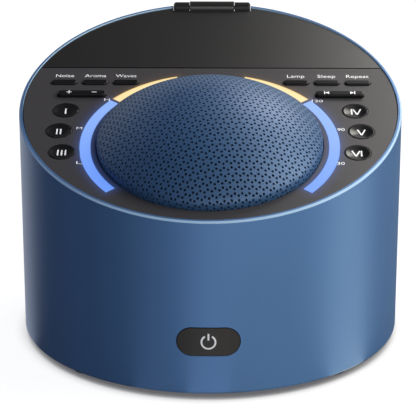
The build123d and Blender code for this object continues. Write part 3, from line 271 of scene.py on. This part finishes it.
def drawn_steel(name, dark, light, roughness):
    """Plated or drawn steel with fine scratches."""
    steel = Finish(name, Metallic=1.0)
    stretch = steel.place.node("Mapping", {}, {"Vector": steel.place, "Scale": (1, 1, 9)})
    scratch = stretch.noise(0.9 * mm, 3.0)
    steel.set(
        Base_Color=scratch.blend(dark, light),
        Roughness=roughness + scratch * 0.15,
        Normal=steel.place.bump(scratch, 0.01 * mm, 0.3),
    )
    return steel


pin_steel = drawn_steel("blackened pin steel", (0.02, 0.02, 0.02, 1), (0.05, 0.05, 0.05, 1), 0.3)
dress(pin_steel, "hinge_pin")

# ---------------------------------------------------------------- speaker grille
# A domed cover of perforated steel in the shell's blue. The holes form a honeycomb, two of
# each three places on a triangular grid, and run over the shoulder and down into the panel.
pitch = 1.487 * mm
hole_radius = 0.45 * mm
hole_sides = 12
row_turn = radians(-21.03)         # of the grid's rows from the X axis
row_start = Vector((-3.8, -6.0)) * mm
half_count = 25                    # rows and columns each side of the middle
weld = 0.02 * mm
dome_radius = 37.5 * mm
dome_crown = 16.4 * mm             # above the rim's plane
dome_curve = 56.2 * mm
shoulder_radius = 3.0 * mm
sheet_thickness = 0.8 * mm
skirt_end = -1.3 * mm              # the perforated sheet ends here, out of sight
collar_radius = dome_radius - 0.05 * mm
collar_top = skirt_end + 0.2 * mm  # the plain collar laps the sheet inside
collar_foot = -2.8 * mm            # its flange starts here, under the panel
collar_thickness = 0.7 * mm
collar_sides = 180
flange_radius = 39.0 * mm
grille_deep = (0.021, 0.062, 0.145, 1)
grille_light = (0.031, 0.085, 0.190, 1)
grille_cloud = 9 * mm

shoulder_centre = dome_radius - shoulder_radius
shoulder_angle = asin(shoulder_centre / (dome_curve - shoulder_radius))
shoulder_level = dome_crown - dome_curve + (dome_curve - shoulder_radius) * cos(shoulder_angle)
cap_length = dome_curve * shoulder_angle
bend_length = shoulder_radius * (pi / 2 - shoulder_angle)
sheet_length = cap_length + bend_length + shoulder_level - skirt_end


def select(*pieces):
    """Selects these pieces alone, or nothing, and makes the first one active."""
    bpy.ops.object.select_all(action="DESELECT")
    for piece in reversed(pieces):
        piece.select_set(True)
        bpy.context.view_layer.objects.active = piece


def close():
    """Leaves the piece that is being edited."""
    bpy.ops.object.mode_set(mode="OBJECT")


def pick(piece, kind, wanted):
    """Opens a piece with the vertices, edges or polygons selected that a test wants."""
    modes = {"vertices": "VERT", "edges": "EDGE", "polygons": "FACE"}
    select(piece)
    bpy.ops.object.mode_set(mode="EDIT")
    bpy.ops.mesh.select_all(action="DESELECT")
    bpy.ops.mesh.select_mode(type=modes[kind])
    close()
    for item in getattr(piece.data, kind):
        item.select = wanted(item)
    bpy.ops.object.mode_set(mode="EDIT")


def pick_all():
    """Opens the active piece with all of it selected."""
    bpy.ops.object.mode_set(mode="EDIT")
    bpy.ops.mesh.select_all(action="SELECT")


def newest(name):
    """Names the piece that was just added."""
    piece = bpy.context.active_object
    piece.name = name
    piece.data.name = name
    return piece


def set_place():
    """Leaves the place, turn and size of what is selected in its mesh."""
    bpy.ops.object.transform_apply(location=True, rotation=True, scale=True)


def join(pieces, name):
    """Makes one piece of several."""
    select(*pieces)
    if len(pieces) > 1:
        bpy.ops.object.join()
    return newest(name)


def apply_all(piece):
    """Makes a piece's modifiers part of its mesh."""
    bpy.context.view_layer.objects.active = piece
    for modifier in list(piece.modifiers):
        bpy.ops.object.modifier_apply(modifier=modifier.name)


def settle(piece, place):
    """Puts a piece in its place in the object and leaves that place in its mesh."""
    select(piece)
    piece.matrix_world = place @ piece.matrix_world
    set_place()


def grid_place(i, j):
    """A place on the triangular grid, in the flat sheet."""
    first = Vector((cos(row_turn), sin(row_turn))) * pitch
    second = Vector((cos(row_turn - pi / 3), sin(row_turn - pi / 3))) * pitch
    return first * i + second * j


def hex_cell(i, j, pierced):
    """One six-sided cell of the sheet, with or without its hole."""
    spot = grid_place(i, j)
    row = Vector((cos(row_turn), sin(row_turn)))
    select()
    bpy.ops.mesh.primitive_circle_add(vertices=hole_sides, radius=hole_radius, fill_type="NOTHING",
                                      location=(spot.x, spot.y, 0), rotation=(0, 0, row_turn))
    cell = newest("cell")
    set_place()
    pick_all()
    if pierced:
        bpy.ops.mesh.extrude_edges_indiv()
    close()
    for vertex in cell.data.vertices:
        if vertex.select:
            arm = vertex.co.xy - spot
            off_middle = (arm.angle_signed(row) + pi / 6) % (pi / 3) - pi / 6
            vertex.co.xy = spot + arm.normalized() * (pitch / 2) / cos(off_middle)
    if not pierced:
        bpy.ops.object.mode_set(mode="EDIT")
        bpy.ops.mesh.edge_face_add()
        close()
    return cell


def dome_point(spot):
    """Where a point of the flat sheet lies once the sheet is drawn over the dome."""
    length = spot.length
    if length < cap_length:
        radius = dome_curve * sin(length / dome_curve)
        level = dome_crown - dome_curve * (1 - cos(length / dome_curve))
    elif length < cap_length + bend_length:
        lean = shoulder_angle + (length - cap_length) / shoulder_radius
        radius = shoulder_centre + shoulder_radius * sin(lean)
        level = shoulder_level + shoulder_radius * cos(lean)
    else:
        radius = dome_radius
        level = shoulder_level - (length - cap_length - bend_length)
    return Vector((spot.x * radius / length, spot.y * radius / length, level))


def add_wall(piece, thickness):
    """Gives an open surface a wall on its inner side."""
    wall = piece.modifiers.new("wall", "SOLIDIFY")
    wall.thickness = thickness
    wall.offset = -1
    return wall


grille_paint = Finish("satin blue painted steel", Metallic=0.25, Specular_IOR_Level=0.45)
flake, coat = metallic_coat(grille_paint, grille_cloud, grille_deep, grille_light)
grille_paint.set(
    Base_Color=coat,
    Roughness=0.48 + flake * 0.06,
    Normal=grille_paint.place.bump(flake, 0.006 * mm, 0.4),
)

cells = [hex_cell(0, 0, True), hex_cell(1, 0, False), hex_cell(0, 1, True)]
sheet = join(cells, "speaker_grille_sheet")
row_step = grid_place(1, 1)
column_step = grid_place(1, -2)
for name, step in (("rows", row_step), ("columns", column_step)):
    copies = sheet.modifiers.new(name, "ARRAY")
    copies.count = 2 * half_count
    copies.use_relative_offset = False
    copies.use_constant_offset = True
    copies.constant_offset_displace = (step.x, step.y, 0)
    copies.use_merge_vertices = True
    copies.merge_threshold = weld
apply_all(sheet)
sheet_start = row_start - (row_step + column_step) * half_count
for vertex in sheet.data.vertices:
    vertex.co.xy += sheet_start
pick(sheet, "polygons", lambda face: face.center.length > sheet_length)
bpy.ops.mesh.delete(type="FACE")
bpy.ops.mesh.select_all(action="SELECT")
bpy.ops.mesh.remove_doubles(threshold=weld)
bpy.ops.mesh.normals_make_consistent(inside=False)
close()
if sheet.data.polygons[0].normal.z < 0:
    sheet.data.flip_normals()
for vertex in sheet.data.vertices:
    vertex.co = dome_point(vertex.co.xy)
add_wall(sheet, sheet_thickness).use_even_offset = True
apply_all(sheet)

select()
bpy.ops.mesh.primitive_circle_add(vertices=collar_sides, radius=collar_radius, location=(0, 0, collar_top))
collar = newest("speaker_grille_collar")
set_place()
pick_all()
bpy.ops.mesh.extrude_edges_indiv()
bpy.ops.transform.translate(value=(0, 0, collar_foot - collar_top))
bpy.ops.mesh.extrude_edges_indiv()
bpy.ops.transform.resize(value=(flange_radius / collar_radius, flange_radius / collar_radius, 1))
bpy.ops.mesh.select_all(action="SELECT")
bpy.ops.mesh.normals_make_consistent(inside=False)
close()
add_wall(collar, collar_thickness)
apply_all(collar)

grille = join([sheet, collar], "perforated_grille")
settle(grille, deck_place @ Matrix.Translation((0, ring_s, 0)))
bpy.ops.object.shade_smooth_by_angle(angle=radians(35))
grille.data.materials.append(grille_paint.material)
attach(grille, "root")
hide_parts("speaker_grille")

# ---------------------------------------------------------------- acoustic cloth
# Fine black woven cloth behind the perforated dome. It keeps dust out of the speaker and
# lets the sound through.
thread_pitch = 0.5 * mm
cloth_dark = (0.004, 0.004, 0.005, 1)
cloth_light = (0.012, 0.012, 0.014, 1)

acoustic_cloth = Finish("black acoustic cloth", Roughness=0.95)
weave = [axis.math("SINE", axis * (2 * pi / thread_pitch)) for axis in acoustic_cloth.axes()]
threads = weave[0] * weave[1] * 0.5 + 0.5
acoustic_cloth.set(
    Base_Color=threads.blend(cloth_dark, cloth_light),
    Normal=acoustic_cloth.place.bump(threads, 0.05 * mm, 0.5),
)
dress(acoustic_cloth, "grille_cloth")

# ---------------------------------------------------------------- light guides
# Four frosted acrylic arcs, flush with the panel. The two long ones are lit blue and the two
# short ones warm white. Their light is paler up the slope, nearer the rear row of lamps.
blue_low = (0.135, 0.315, 0.98, 1)
blue_high = (0.27, 0.46, 0.98, 1)
amber_middle = (1.0, 0.80, 0.40, 1)
amber_edge = (0.85, 0.56, 0.20, 1)
edge_fade = 0.9 * mm
frost_size = 1.2 * mm

lit_blue = Finish("frosted guide lit blue", Roughness=0.5, Emission_Strength=0.9)
frost = lit_blue.place.noise(frost_size, 2.0)
angle = ring_axes(lit_blue)[1]
pale = angle.above(blue_span[0], blue_span[1])
lit_blue.set(
    Base_Color=frost.blend((0.03, 0.05, 0.11, 1), (0.04, 0.06, 0.12, 1)),
    Emission_Color=(pale * 0.9 + frost * 0.1).blend(blue_low, blue_high),
)
dress(lit_blue, "light_guide_blue_left", "light_guide_blue_right")

lit_amber = Finish("frosted guide lit warm white", Roughness=0.5, Emission_Strength=0.9)
frost = lit_amber.place.noise(frost_size, 2.0)
away = ring_axes(lit_amber)[0]
from_edge = away.math("MINIMUM", away - arc_inner, arc_outer - away)
lit_amber.set(
    Base_Color=frost.blend((0.08, 0.07, 0.04, 1), (0.1, 0.08, 0.05, 1)),
    Emission_Color=from_edge.above(0.0, edge_fade).blend(amber_edge, amber_middle),
)
dress(lit_amber, "light_guide_amber_left", "light_guide_amber_right")

# ---------------------------------------------------------------- buttons and rockers
# Gloss black caps that stand in close cut-outs. They are polished in the mould, so only a
# faint flow pattern and a few hairlines break up the shine.
cap_dark = (0.006, 0.006, 0.007, 1)
cap_light = (0.011, 0.011, 0.012, 1)
pill_names = ["noise", "aroma", "waves", "lamp", "sleep", "repeat"]

gloss_black = Finish("gloss black caps", Specular_IOR_Level=0.15)
flow = gloss_black.place.noise(4 * mm, 3.0)
hairline = gloss_black.place.noise(0.4 * mm, 2.0)
gloss_black.set(
    Base_Color=flow.blend(cap_dark, cap_light),
    Roughness=0.18 + flow * 0.05,
    Normal=gloss_black.place.bump(hairline, 0.002 * mm, 0.3),
)
dress(gloss_black, *[name + "_button" for name in pill_names])
dress(gloss_black, *[f"preset_button_{number}" for number in range(1, 7)])
dress(gloss_black, "volume_rocker", "track_rocker")

# ---------------------------------------------------------------- words and level marks
# White pad printing, a few hundredths of a millimetre thick: a word over each short button,
# and level marks beside the ring, letters for the sound on the left and minutes on the right.
ink_thickness = 0.02 * mm
deck_level = -0.4 * mm             # of the panel's face, under the rim's plane
word_s = 17.3 * mm                 # places down the slope are called s
word_height = 1.95 * mm
words = [                          # each with its place across and its width, in mm
    ("Noise", -50.77, 6.3), ("Aroma", -40.1, 7.4), ("Waves", -29.43, 7.2),
    ("Lamp", 29.43, 6.0), ("Sleep", 40.1, 6.2), ("Repeat", 50.77, 7.8),
]
level_marks = [                    # each with its place across and its s, in mm
    ("H", -35.4, 2.2), ("M", -43.8, -15.3), ("L", -42.8, -35.5),
    ("120", 36.2, 1.8), ("90", 43.8, -15.7), ("30", 42.9, -35.5),
]
level_mark_height = 1.6 * mm
letter_width = 1.9 * mm
digit_width = 1.25 * mm
capital_share = 0.73               # of the font's size

white_ink = Finish("white pad printing", Roughness=0.45)
dots = white_ink.place.noise(0.25 * mm, 2.0)
white_ink.set(
    Base_Color=dots.blend((0.78, 0.78, 0.78, 1), (0.90, 0.90, 0.90, 1)),
    Normal=white_ink.place.bump(dots, 0.004 * mm, 0.4),
)


def print_mark(mark, body):
    """Inks a mark that is in its place, and rides it on a body."""
    mark.data.materials.clear()
    mark.data.materials.append(white_ink.material)
    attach(mark, body)


def print_on_deck(mark, x, s, level, body):
    """Lays a flat mark along the deck and prints it."""
    settle(mark, deck_place @ Matrix.Translation((x, s, level + ink_thickness)))
    print_mark(mark, body)


def lettering(name, text, height, width):
    """Flat raised letters, centred, with capitals of one height and a set width in all."""
    select()
    bpy.ops.object.text_add(location=(0, 0, 0))
    letters = newest(name)
    letters.data.body = text
    letters.data.align_x = "CENTER"
    letters.data.size = height / capital_share
    letters.data.extrude = ink_thickness / 2
    letters.data.resolution_u = 4
    bpy.ops.object.convert(target="MESH")
    letters = newest(name)
    letters.scale = (width / letters.dimensions.x, 1, 1)
    set_place()
    return letters


for (text, x, width), name in zip(words, pill_names):
    mark = lettering(f"mark_{name}", text, word_height, width * mm)
    print_on_deck(mark, x * mm, word_s, deck_level, "root")
for text, x, s in level_marks:
    width = letter_width if len(text) == 1 else digit_width * len(text)
    mark = lettering(f"mark_{text}", text, level_mark_height, width)
    print_on_deck(mark, x * mm, s * mm, deck_level, "root")

# ---------------------------------------------------------------- numbers and signs
# Roman numbers on the round buttons and plain signs on the rockers, in the same white ink.
# They are built from straight strokes, and the numbers follow their button's hollow face.
numbers = [                        # each with its place across and its s, in mm
    ("I", -49.1, -3.7), ("II", -50.6, -16.1), ("III", -48.8, -28.6),
    ("IV", 49.1, -3.7), ("V", 50.6, -16.1), ("VI", 48.8, -28.6),
]
number_height = 3.2 * mm
number_stroke = 0.5 * mm
letter_room = {"I": 1.25 * mm, "V": 2.4 * mm}
v_width = 1.5 * mm
v_reach = v_width / 2.3            # from the middle of a V to the middle of its strokes
v_turn = radians(22)
v_length = number_height / cos(v_turn) * 0.98
round_level = deck_level + 0.05 * mm
dish_depth = 0.5 * mm
dish_radius = 3.85 * mm
dish_curve = (dish_radius ** 2 + dish_depth ** 2) / (2 * dish_depth)
rocker_places = {"volume": (-44.2 * mm, 5.8 * mm), "track": (44.2 * mm, 5.8 * mm)}
rocker_level = deck_level + 1.3 * mm
sign_reach = 4.3 * mm              # from the middle of a rocker
sign_width = 1.7 * mm
sign_height = 1.9 * mm
sign_stroke = 0.34 * mm
arrow_size = 0.95 * mm
arrow_place = 0.25 * mm
stop_place = 0.85 * mm
corner_share = 0.2                 # of a stroke's width


def bar(name, x, y, width, height, turn=0.0):
    """A flat stroke of a mark, with a small round at its corners."""
    select()
    bpy.ops.mesh.primitive_plane_add(size=1, location=(x, y, 0), rotation=(0, 0, turn))
    stroke = newest(name)
    stroke.scale = (width, height, 1)
    set_place()
    pick_all()
    bpy.ops.mesh.bevel(offset=min(width, height) * corner_share, segments=2, affect="VERTICES")
    close()
    return stroke


def arrow(x, size, turn):
    """A flat triangle that points left or right."""
    select()
    bpy.ops.mesh.primitive_circle_add(vertices=3, radius=size, fill_type="NGON",
                                      location=(x, 0, 0), rotation=(0, 0, turn))
    triangle = newest("stroke")
    set_place()
    return triangle


def thicken(mark):
    """Gives a flat mark the thickness of its ink."""
    ink = mark.modifiers.new("ink", "SOLIDIFY")
    ink.thickness = ink_thickness
    ink.offset = 0
    apply_all(mark)
    return mark


def roman(name, text):
    """A roman number built from straight strokes."""
    strokes = []
    start = -sum(letter_room[letter] for letter in text) / 2
    for letter in text:
        middle = start + letter_room[letter] / 2
        start += letter_room[letter]
        if letter == "I":
            strokes.append(bar("stroke", middle, 0, number_stroke, number_height))
        else:
            for side in (-1, 1):
                x = middle + side * v_reach
                strokes.append(bar("stroke", x, 0, number_stroke, v_length, -side * v_turn))
    return thicken(join(strokes, name))


for index, (text, x, s) in enumerate(numbers):
    mark = roman(f"number_{index + 1}", text)
    for vertex in mark.data.vertices:
        hollow = sqrt(dish_curve ** 2 - vertex.co.xy.length_squared)
        vertex.co.z += dish_curve - dish_depth - hollow
    print_on_deck(mark, x * mm, s * mm, round_level, f"preset_key_{index + 1}")

across = bar("stroke", 0, 0, sign_width, sign_stroke)
upright = bar("stroke", 0, 0, sign_stroke, sign_height)
plus = thicken(join([across, upright], "sign_plus"))
minus = thicken(bar("sign_minus", 0, 0, sign_width, sign_stroke))
stop = bar("stroke", -stop_place, 0, sign_stroke, sign_height)
back = thicken(join([arrow(arrow_place, arrow_size, pi / 2), stop], "sign_back"))
stop = bar("stroke", stop_place, 0, sign_stroke, sign_height)
ahead = thicken(join([arrow(-arrow_place, arrow_size, -pi / 2), stop], "sign_ahead"))
for key, left_sign, right_sign in (("volume", plus, minus), ("track", back, ahead)):
    x, s = rocker_places[key]
    print_on_deck(left_sign, x - sign_reach, s, rocker_level, key + "_key")
    print_on_deck(right_sign, x + sign_reach, s, rocker_level, key + "_key")

# ---------------------------------------------------------------- power button
# A long satin black cap that follows the drum's curve, in a close cut-out. Its sign is a
# broken ring with a stroke in the gap, printed in white on the curved face.
power_height = 20.6 * mm
power_face = 65.2 * mm             # radius of the cap's curved face
ring_radius = 2.25 * mm
ring_width = 0.6 * mm
ring_gap = radians(33)             # half of the ring's opening
ring_sides = 60
stem_place = ring_radius * 0.78
stem_length = 2.3 * mm
satin_dark = (0.014, 0.0125, 0.012, 1)
satin_light = (0.02, 0.018, 0.0175, 1)

satin_black = Finish("satin black cap", Specular_IOR_Level=0.32)
grain = spark_texture(satin_black, 0.25 * mm, 0.006 * mm)
satin_black.set(Base_Color=grain.blend(satin_dark, satin_light), Roughness=0.36 + grain * 0.06)
dress(satin_black, "power_button")


def in_gap(point):
    """Whether a point of the ring lies in its opening."""
    return point.co.y > 0 and abs(point.co.x) < sin(ring_gap) * ring_radius


select()
outside = ring_radius + ring_width / 2
inside = ring_radius - ring_width / 2
bpy.ops.mesh.primitive_circle_add(vertices=ring_sides, radius=outside, location=(0, 0, 0))
ring = newest("power_sign")
pick(ring, "vertices", in_gap)
bpy.ops.mesh.delete(type="VERT")
bpy.ops.mesh.select_all(action="SELECT")
bpy.ops.mesh.extrude_edges_indiv()
bpy.ops.transform.resize(value=(inside / outside, inside / outside, 1))
close()
stem = bar("stem", 0, stem_place, ring_width, stem_length)
power_sign = thicken(join([ring, stem], "power_sign"))
settle(power_sign, Matrix.Translation((0, 0, power_height)) @ Matrix.Rotation(pi / 2, 4, "X"))
for vertex in power_sign.data.vertices:
    vertex.co.y -= sqrt(power_face ** 2 - vertex.co.x ** 2) + ink_thickness / 2
select(power_sign)
pick_all()
bpy.ops.mesh.normals_make_consistent(inside=False)
close()
print_mark(power_sign, "power_key")

# ---------------------------------------------------------------- base, feet and screws
# The floor of the drum is a black moulding with air slots. It stands on four glued rubber
# feet and is held by four zinc plated screws with cross recesses.


def moulded(name, dark, light, roughness, grain_size=0.4 * mm, sheen=0.5):
    """Plain moulded plastic or rubber with a fine grain and a slow change of shade."""
    plastic = Finish(name, Specular_IOR_Level=sheen)
    texture = spark_texture(plastic, grain_size, 0.02 * mm)
    shade = plastic.place.noise(12 * mm, 2.0)
    plastic.set(
        Base_Color=(texture * 0.5 + shade * 0.5).blend(dark, light),
        Roughness=roughness + texture * 0.08,
    )
    return plastic


base_plastic = moulded(
    "textured black plastic", (0.012, 0.012, 0.013, 1), (0.022, 0.022, 0.024, 1), 0.55)
dress(base_plastic, "base_cover", "fan_housing", "fan_rotor")
foot_rubber = moulded(
    "matt black rubber", (0.006, 0.006, 0.006, 1), (0.012, 0.012, 0.012, 1), 0.75, 0.8 * mm, 0.12)
dress(foot_rubber, "rubber_feet")
zinc = drawn_steel("zinc plated steel", (0.40, 0.41, 0.43, 1), (0.58, 0.58, 0.59, 1), 0.3)
screwed = ["base", "frame", "panel", "tub", "power", "speaker", "bracket", "fan", "board"]
dress(zinc, *[name + "_screws" for name in screwed])
dress(zinc, "speaker_top_plate", "speaker_yoke")

# ---------------------------------------------------------------- scent bay
# Under the lid: a matt black tub with a deep bay, a lift-out slotted tray in it, and a thick
# white felt pad that takes the drops of oil. Air comes up through the tray and out at the rear.
pad_size = (46.9 * mm, 16.9 * mm, 5.0 * mm)
pad_spot = (0, 39.0 * mm, -13.95 * mm)           # of its middle, on the deck's axes
pad_corner = 2.0 * mm
pad_edge = 0.8 * mm
felt_grain = 0.6 * mm
crown_height = 0.35 * mm
settled_by = 0.3 * mm
dimple_depth = 0.8 * mm
dimple_radius = 2 * mm
dimple_places = (-15 * mm, 0, 15 * mm)
felt_dark = (0.60, 0.58, 0.53, 1)
felt_light = (0.86, 0.85, 0.81, 1)

tub_plastic = moulded(
    "fine matt plastic", (0.018, 0.018, 0.019, 1), (0.030, 0.030, 0.032, 1), 0.5)
dress(tub_plastic, "diffuser_tub", "pad_tray", "inner_frame")


def upright_edge(edge):
    """Whether an edge of the pad's block is one of its four corners."""
    ends = [pad.data.vertices[index].co for index in edge.vertices]
    return abs(ends[0].z - ends[1].z) > 1 * mm


def pad_swell(x, y):
    """How far the pad's upper face stands off its block: a low crown with three dimples."""
    along = 2 * x / pad_size[0]
    across = 2 * y / pad_size[1]
    crown = (1 - along ** 4) * (1 - across ** 4)
    dimples = sum(exp(-((x - place) ** 2 + y ** 2) / dimple_radius ** 2) for place in dimple_places)
    return crown_height * crown - dimple_depth * dimples - settled_by


select()
bpy.ops.mesh.primitive_cube_add(size=1, location=(0, 0, 0))
pad = newest("felt_pad")
pad.scale = pad_size
set_place()
pick(pad, "edges", upright_edge)
bpy.ops.mesh.bevel(offset=pad_corner, segments=5)
close()
pick(pad, "polygons", lambda face: abs(face.normal.z) > 0.9)
bpy.ops.mesh.bevel(offset=pad_edge, segments=3)
close()
remesh = pad.modifiers.new("felt", "REMESH")
remesh.mode = "VOXEL"
remesh.voxel_size = felt_grain
apply_all(pad)
for vertex in pad.data.vertices:
    if vertex.co.z > 0:
        vertex.co.z += pad_swell(vertex.co.x, vertex.co.y)
settle(pad, deck_place @ Matrix.Translation(pad_spot))
bpy.ops.object.shade_smooth()
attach(pad, "root")
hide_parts("aroma_pad")

felt = Finish("white felt", Roughness=0.95, Sheen_Weight=0.3)
fibres = felt.place.noise(0.35 * mm, 4.0, 0.7)
tufts = felt.place.noise(2.5 * mm, 3.0)
felt.set(
    Base_Color=(fibres * 0.6 + tufts * 0.4).blend(felt_dark, felt_light),
    Normal=felt.place.bump(fibres + tufts, 0.12 * mm, 0.8),
)
pad.data.materials.append(felt.material)

# ---------------------------------------------------------------- loudspeaker
# A small full-range driver in a black steel basket: a pressed paper cone on a rubber
# surround and a cloth spider, over a ferrite magnet. It only shows when taken apart.
basket_paint = moulded(
    "black painted steel", (0.010, 0.010, 0.010, 1), (0.020, 0.020, 0.020, 1), 0.4)
dress(basket_paint, "speaker_basket")
ferrite = moulded("ground ferrite", (0.035, 0.034, 0.035, 1), (0.07, 0.068, 0.07, 1), 0.6)
dress(ferrite, "speaker_magnet")
paper = moulded(
    "pressed black paper", (0.012, 0.012, 0.012, 1), (0.03, 0.029, 0.028, 1), 0.85, 0.6 * mm)
dress(paper, "speaker_cone")
soft_rubber = moulded("soft black rubber", (0.012, 0.012, 0.012, 1), (0.02, 0.02, 0.02, 1), 0.65)
dress(soft_rubber, "speaker_surround")
spider_cloth = moulded("resin stiffened cloth", (0.25, 0.13, 0.035, 1), (0.40, 0.24, 0.08, 1), 0.8)
dress(spider_cloth, "speaker_spider")

# ---------------------------------------------------------------- boards and leads
# The circuit boards with their parts, the leads and the flat cable, which only show when the
# object is taken apart, and the power socket, which shows in the rear wall.
solder_mask = moulded(
    "green solder mask", (0.010, 0.060, 0.025, 1), (0.016, 0.095, 0.040, 1), 0.3, 1.5 * mm)
dress(solder_mask, "control_board", "power_board", "main_board")
part_body = moulded(
    "moulded component bodies", (0.010, 0.010, 0.011, 1), (0.025, 0.025, 0.026, 1), 0.45)
dress(part_body, "tact_switches", "board_parts")
clear_cast = moulded(
    "clear cast over pale chips", (0.70, 0.66, 0.42, 1), (0.86, 0.84, 0.66, 1), 0.2, 1 * mm)
dress(clear_cast, "led_chips")
socket_steel = drawn_steel(
    "bright plated steel", (0.60, 0.60, 0.60, 1), (0.75, 0.75, 0.75, 1), 0.15)
dress(socket_steel, "usb_socket")
cable_jacket = moulded(
    "grey flat cable jacket", (0.28, 0.28, 0.28, 1), (0.42, 0.42, 0.42, 1), 0.5)
dress(cable_jacket, "ribbon_cable")
dress(soft_rubber, "inner_leads")

# ---------------------------------------------------------------- floor and room
# A pale floor in a white room. What lights the object is a dimmer and bluer sky, and the
# floor's glow has a painted contact shadow, a dark line where something stands on it.
contact_reach = 10 * mm
contact_shade = (0.12, 0.12, 0.13, 1)
ambient = 0.24
ambient_colour = (0.7, 0.9, 1.45, 1)
black = (0, 0, 0, 1)
white = (1, 1, 1, 1)


def shows_room(wire):
    """1 for the rays that show the white room, 0 for the rays that light the object."""
    kinds = ("Camera", "Glossy", "Transmission")
    rays = [wire.node("LightPath", {}, {}, f"Is {kind} Ray") for kind in kinds]
    return wire.math("MINIMUM", rays[0] + rays[1] + rays[2], 1.0)


floor_paint = Finish("pale studio floor", Roughness=0.9, Emission_Strength=0.93)
open_air = floor_paint.place.node("AmbientOcclusion", {"samples": 12}, {"Distance": contact_reach}, "AO")
# the floor's glow darkens near anything close above it: a painted contact shadow
lit_floor = open_air.above(0.15, 0.75).blend(contact_shade, white)
floor_paint.set(
    Base_Color=(0.12, 0.12, 0.12, 1),
    Emission_Color=shows_room(floor_paint.place).blend(black, lit_floor),
)
select()
bpy.ops.mesh.primitive_plane_add(size=12, location=(0, 0, 0))
floor = newest("floor")
floor.data.materials.append(floor_paint.material)

world = bpy.data.worlds.new("studio")
bpy.context.scene.world = world
world.use_nodes = True
background = world.node_tree.nodes["Background"]
sky = Wire(world.node_tree)
shown = shows_room(sky)
sky.feed(background.inputs["Color"], shown.blend(ambient_colour, white))
sky.feed(background.inputs["Strength"], ambient + shown * (1 - ambient))

# ---------------------------------------------------------------- lamps and cards
# Three soft warm lamps at the front right, the right and the rear right. Cards that only the
# gloss shows darken the left side and the deck, and give the drum its bright band.
lamp_aim = Vector((0, 0, 0.08))
low_card = 0.001                   # levels of the cards on the floor
raised_card = 0.002


def lamp(name, place, width, height, watts, colour):
    """A soft rectangular lamp that faces the object."""
    select()
    bpy.ops.object.light_add(type="AREA", location=place)
    light = newest(name)
    light.data.shape = "RECTANGLE"
    light.data.size = width
    light.data.size_y = height
    light.data.energy = watts
    light.data.color = colour
    light.rotation_euler = (lamp_aim - Vector(place)).to_track_quat("-Z", "Y").to_euler()


def card_finish(name, colour, strength):
    """The finish of a card that glows evenly."""
    return Finish(name, Base_Color=(0.02, 0.02, 0.02, 1), Roughness=1.0,
                  Emission_Color=colour, Emission_Strength=strength)


def card(name, finish, *corners):
    """A card that only the gloss of the object shows. Its four corners go round it."""
    select()
    bpy.ops.mesh.primitive_plane_add(size=1, location=(0, 0, 0))
    panel = newest(name)
    for index, corner in zip(panel.data.polygons[0].vertices, corners):
        panel.data.vertices[index].co = corner
    panel.data.materials.append(finish.material)
    panel.visible_camera = False
    panel.visible_diffuse = False
    panel.visible_shadow = False


def level_card(name, finish, level, *corners):
    """A card that lies level."""
    card(name, finish, *[(x, y, level) for x, y in corners])


def standing_card(name, finish, start, end, bottom=-0.40, top=1.10):
    """A card that stands on the line from one place to another."""
    card(name, finish, (*start, bottom), (*end, bottom), (*end, top), (*start, top))


lamp("key_lamp", (0.39, -0.96, 0.34), 0.5, 0.7, 4.7, (1.0, 0.97, 0.87))
lamp("side_lamp", (0.43, -0.06, 0.37), 0.32, 0.32, 3.0, (1.0, 0.95, 0.83))
lamp("rear_lamp", (0.29, 0.40, 0.50), 0.28, 0.28, 2.5, (1.0, 0.96, 0.88))

dark_card = card_finish("dark card", white, 0.02)
dim_card = card_finish("dim card", white, 0.11)
half_card = card_finish("half lit card", white, 0.4)
pale_card = card_finish("pale card", (1.0, 0.97, 0.84, 1), 0.62)
lit_card = card_finish("lit card", (1.0, 0.9, 0.68, 1), 2.0)
level_card("overhead_card", dark_card, 0.56,
           (-0.30, -0.05), (0.07, -0.05), (0.07, 1.25), (-0.30, 1.25))
level_card("front_card", dark_card, 0.50,
           (-0.44, -0.71), (0.40, -0.71), (0.40, -0.01), (-0.44, -0.01))
standing_card("left_card", dark_card, (-0.55, -1.40), (-0.55, 0.15))
standing_card("rear_card", dark_card, (0.74, 0.32), (0.50, 1.18))
level_card("left_table_card", dim_card, low_card,
           (-0.0243, -0.0603), (-0.78, 0.67), (-1.24, -0.35), (-0.72, -0.78))
level_card("front_table_card", half_card, low_card,
           (-0.0068, -0.0646), (-0.0243, -0.0603), (-0.72, -0.78), (-0.215, -1.04))
level_card("rear_table_card", dim_card, low_card,
           (0.050, -0.040), (0.90, 0.27), (0.60, 0.95), (0.02, 0.10))
level_card("key_table_card", pale_card, low_card,
           (0.0068, -0.0646), (0.194, -0.945), (0.894, -0.331), (0.0382, -0.0526))
level_card("right_table_card", lit_card, raised_card,
           (0.040, -0.0512), (0.428, -0.148), (0.436, 0.071), (0.0519, -0.0391))

# ---------------------------------------------------------------- camera
# A long lens in front of the object and above it. It looks down by about twenty degrees, and
# it is turned to the left by about half a degree.
camera_place = (0.0061, -0.6612, 0.2789)
camera_turn = (radians(70.42), 0, radians(0.6))
select()
bpy.ops.object.camera_add(location=camera_place, rotation=camera_turn)
camera = newest("camera")
camera.data.lens = 175.2
camera.data.sensor_width = 36.0
camera.data.clip_start = 0.01
bpy.context.scene.camera = camera
bpy.context.scene.view_settings.view_transform = "Standard"
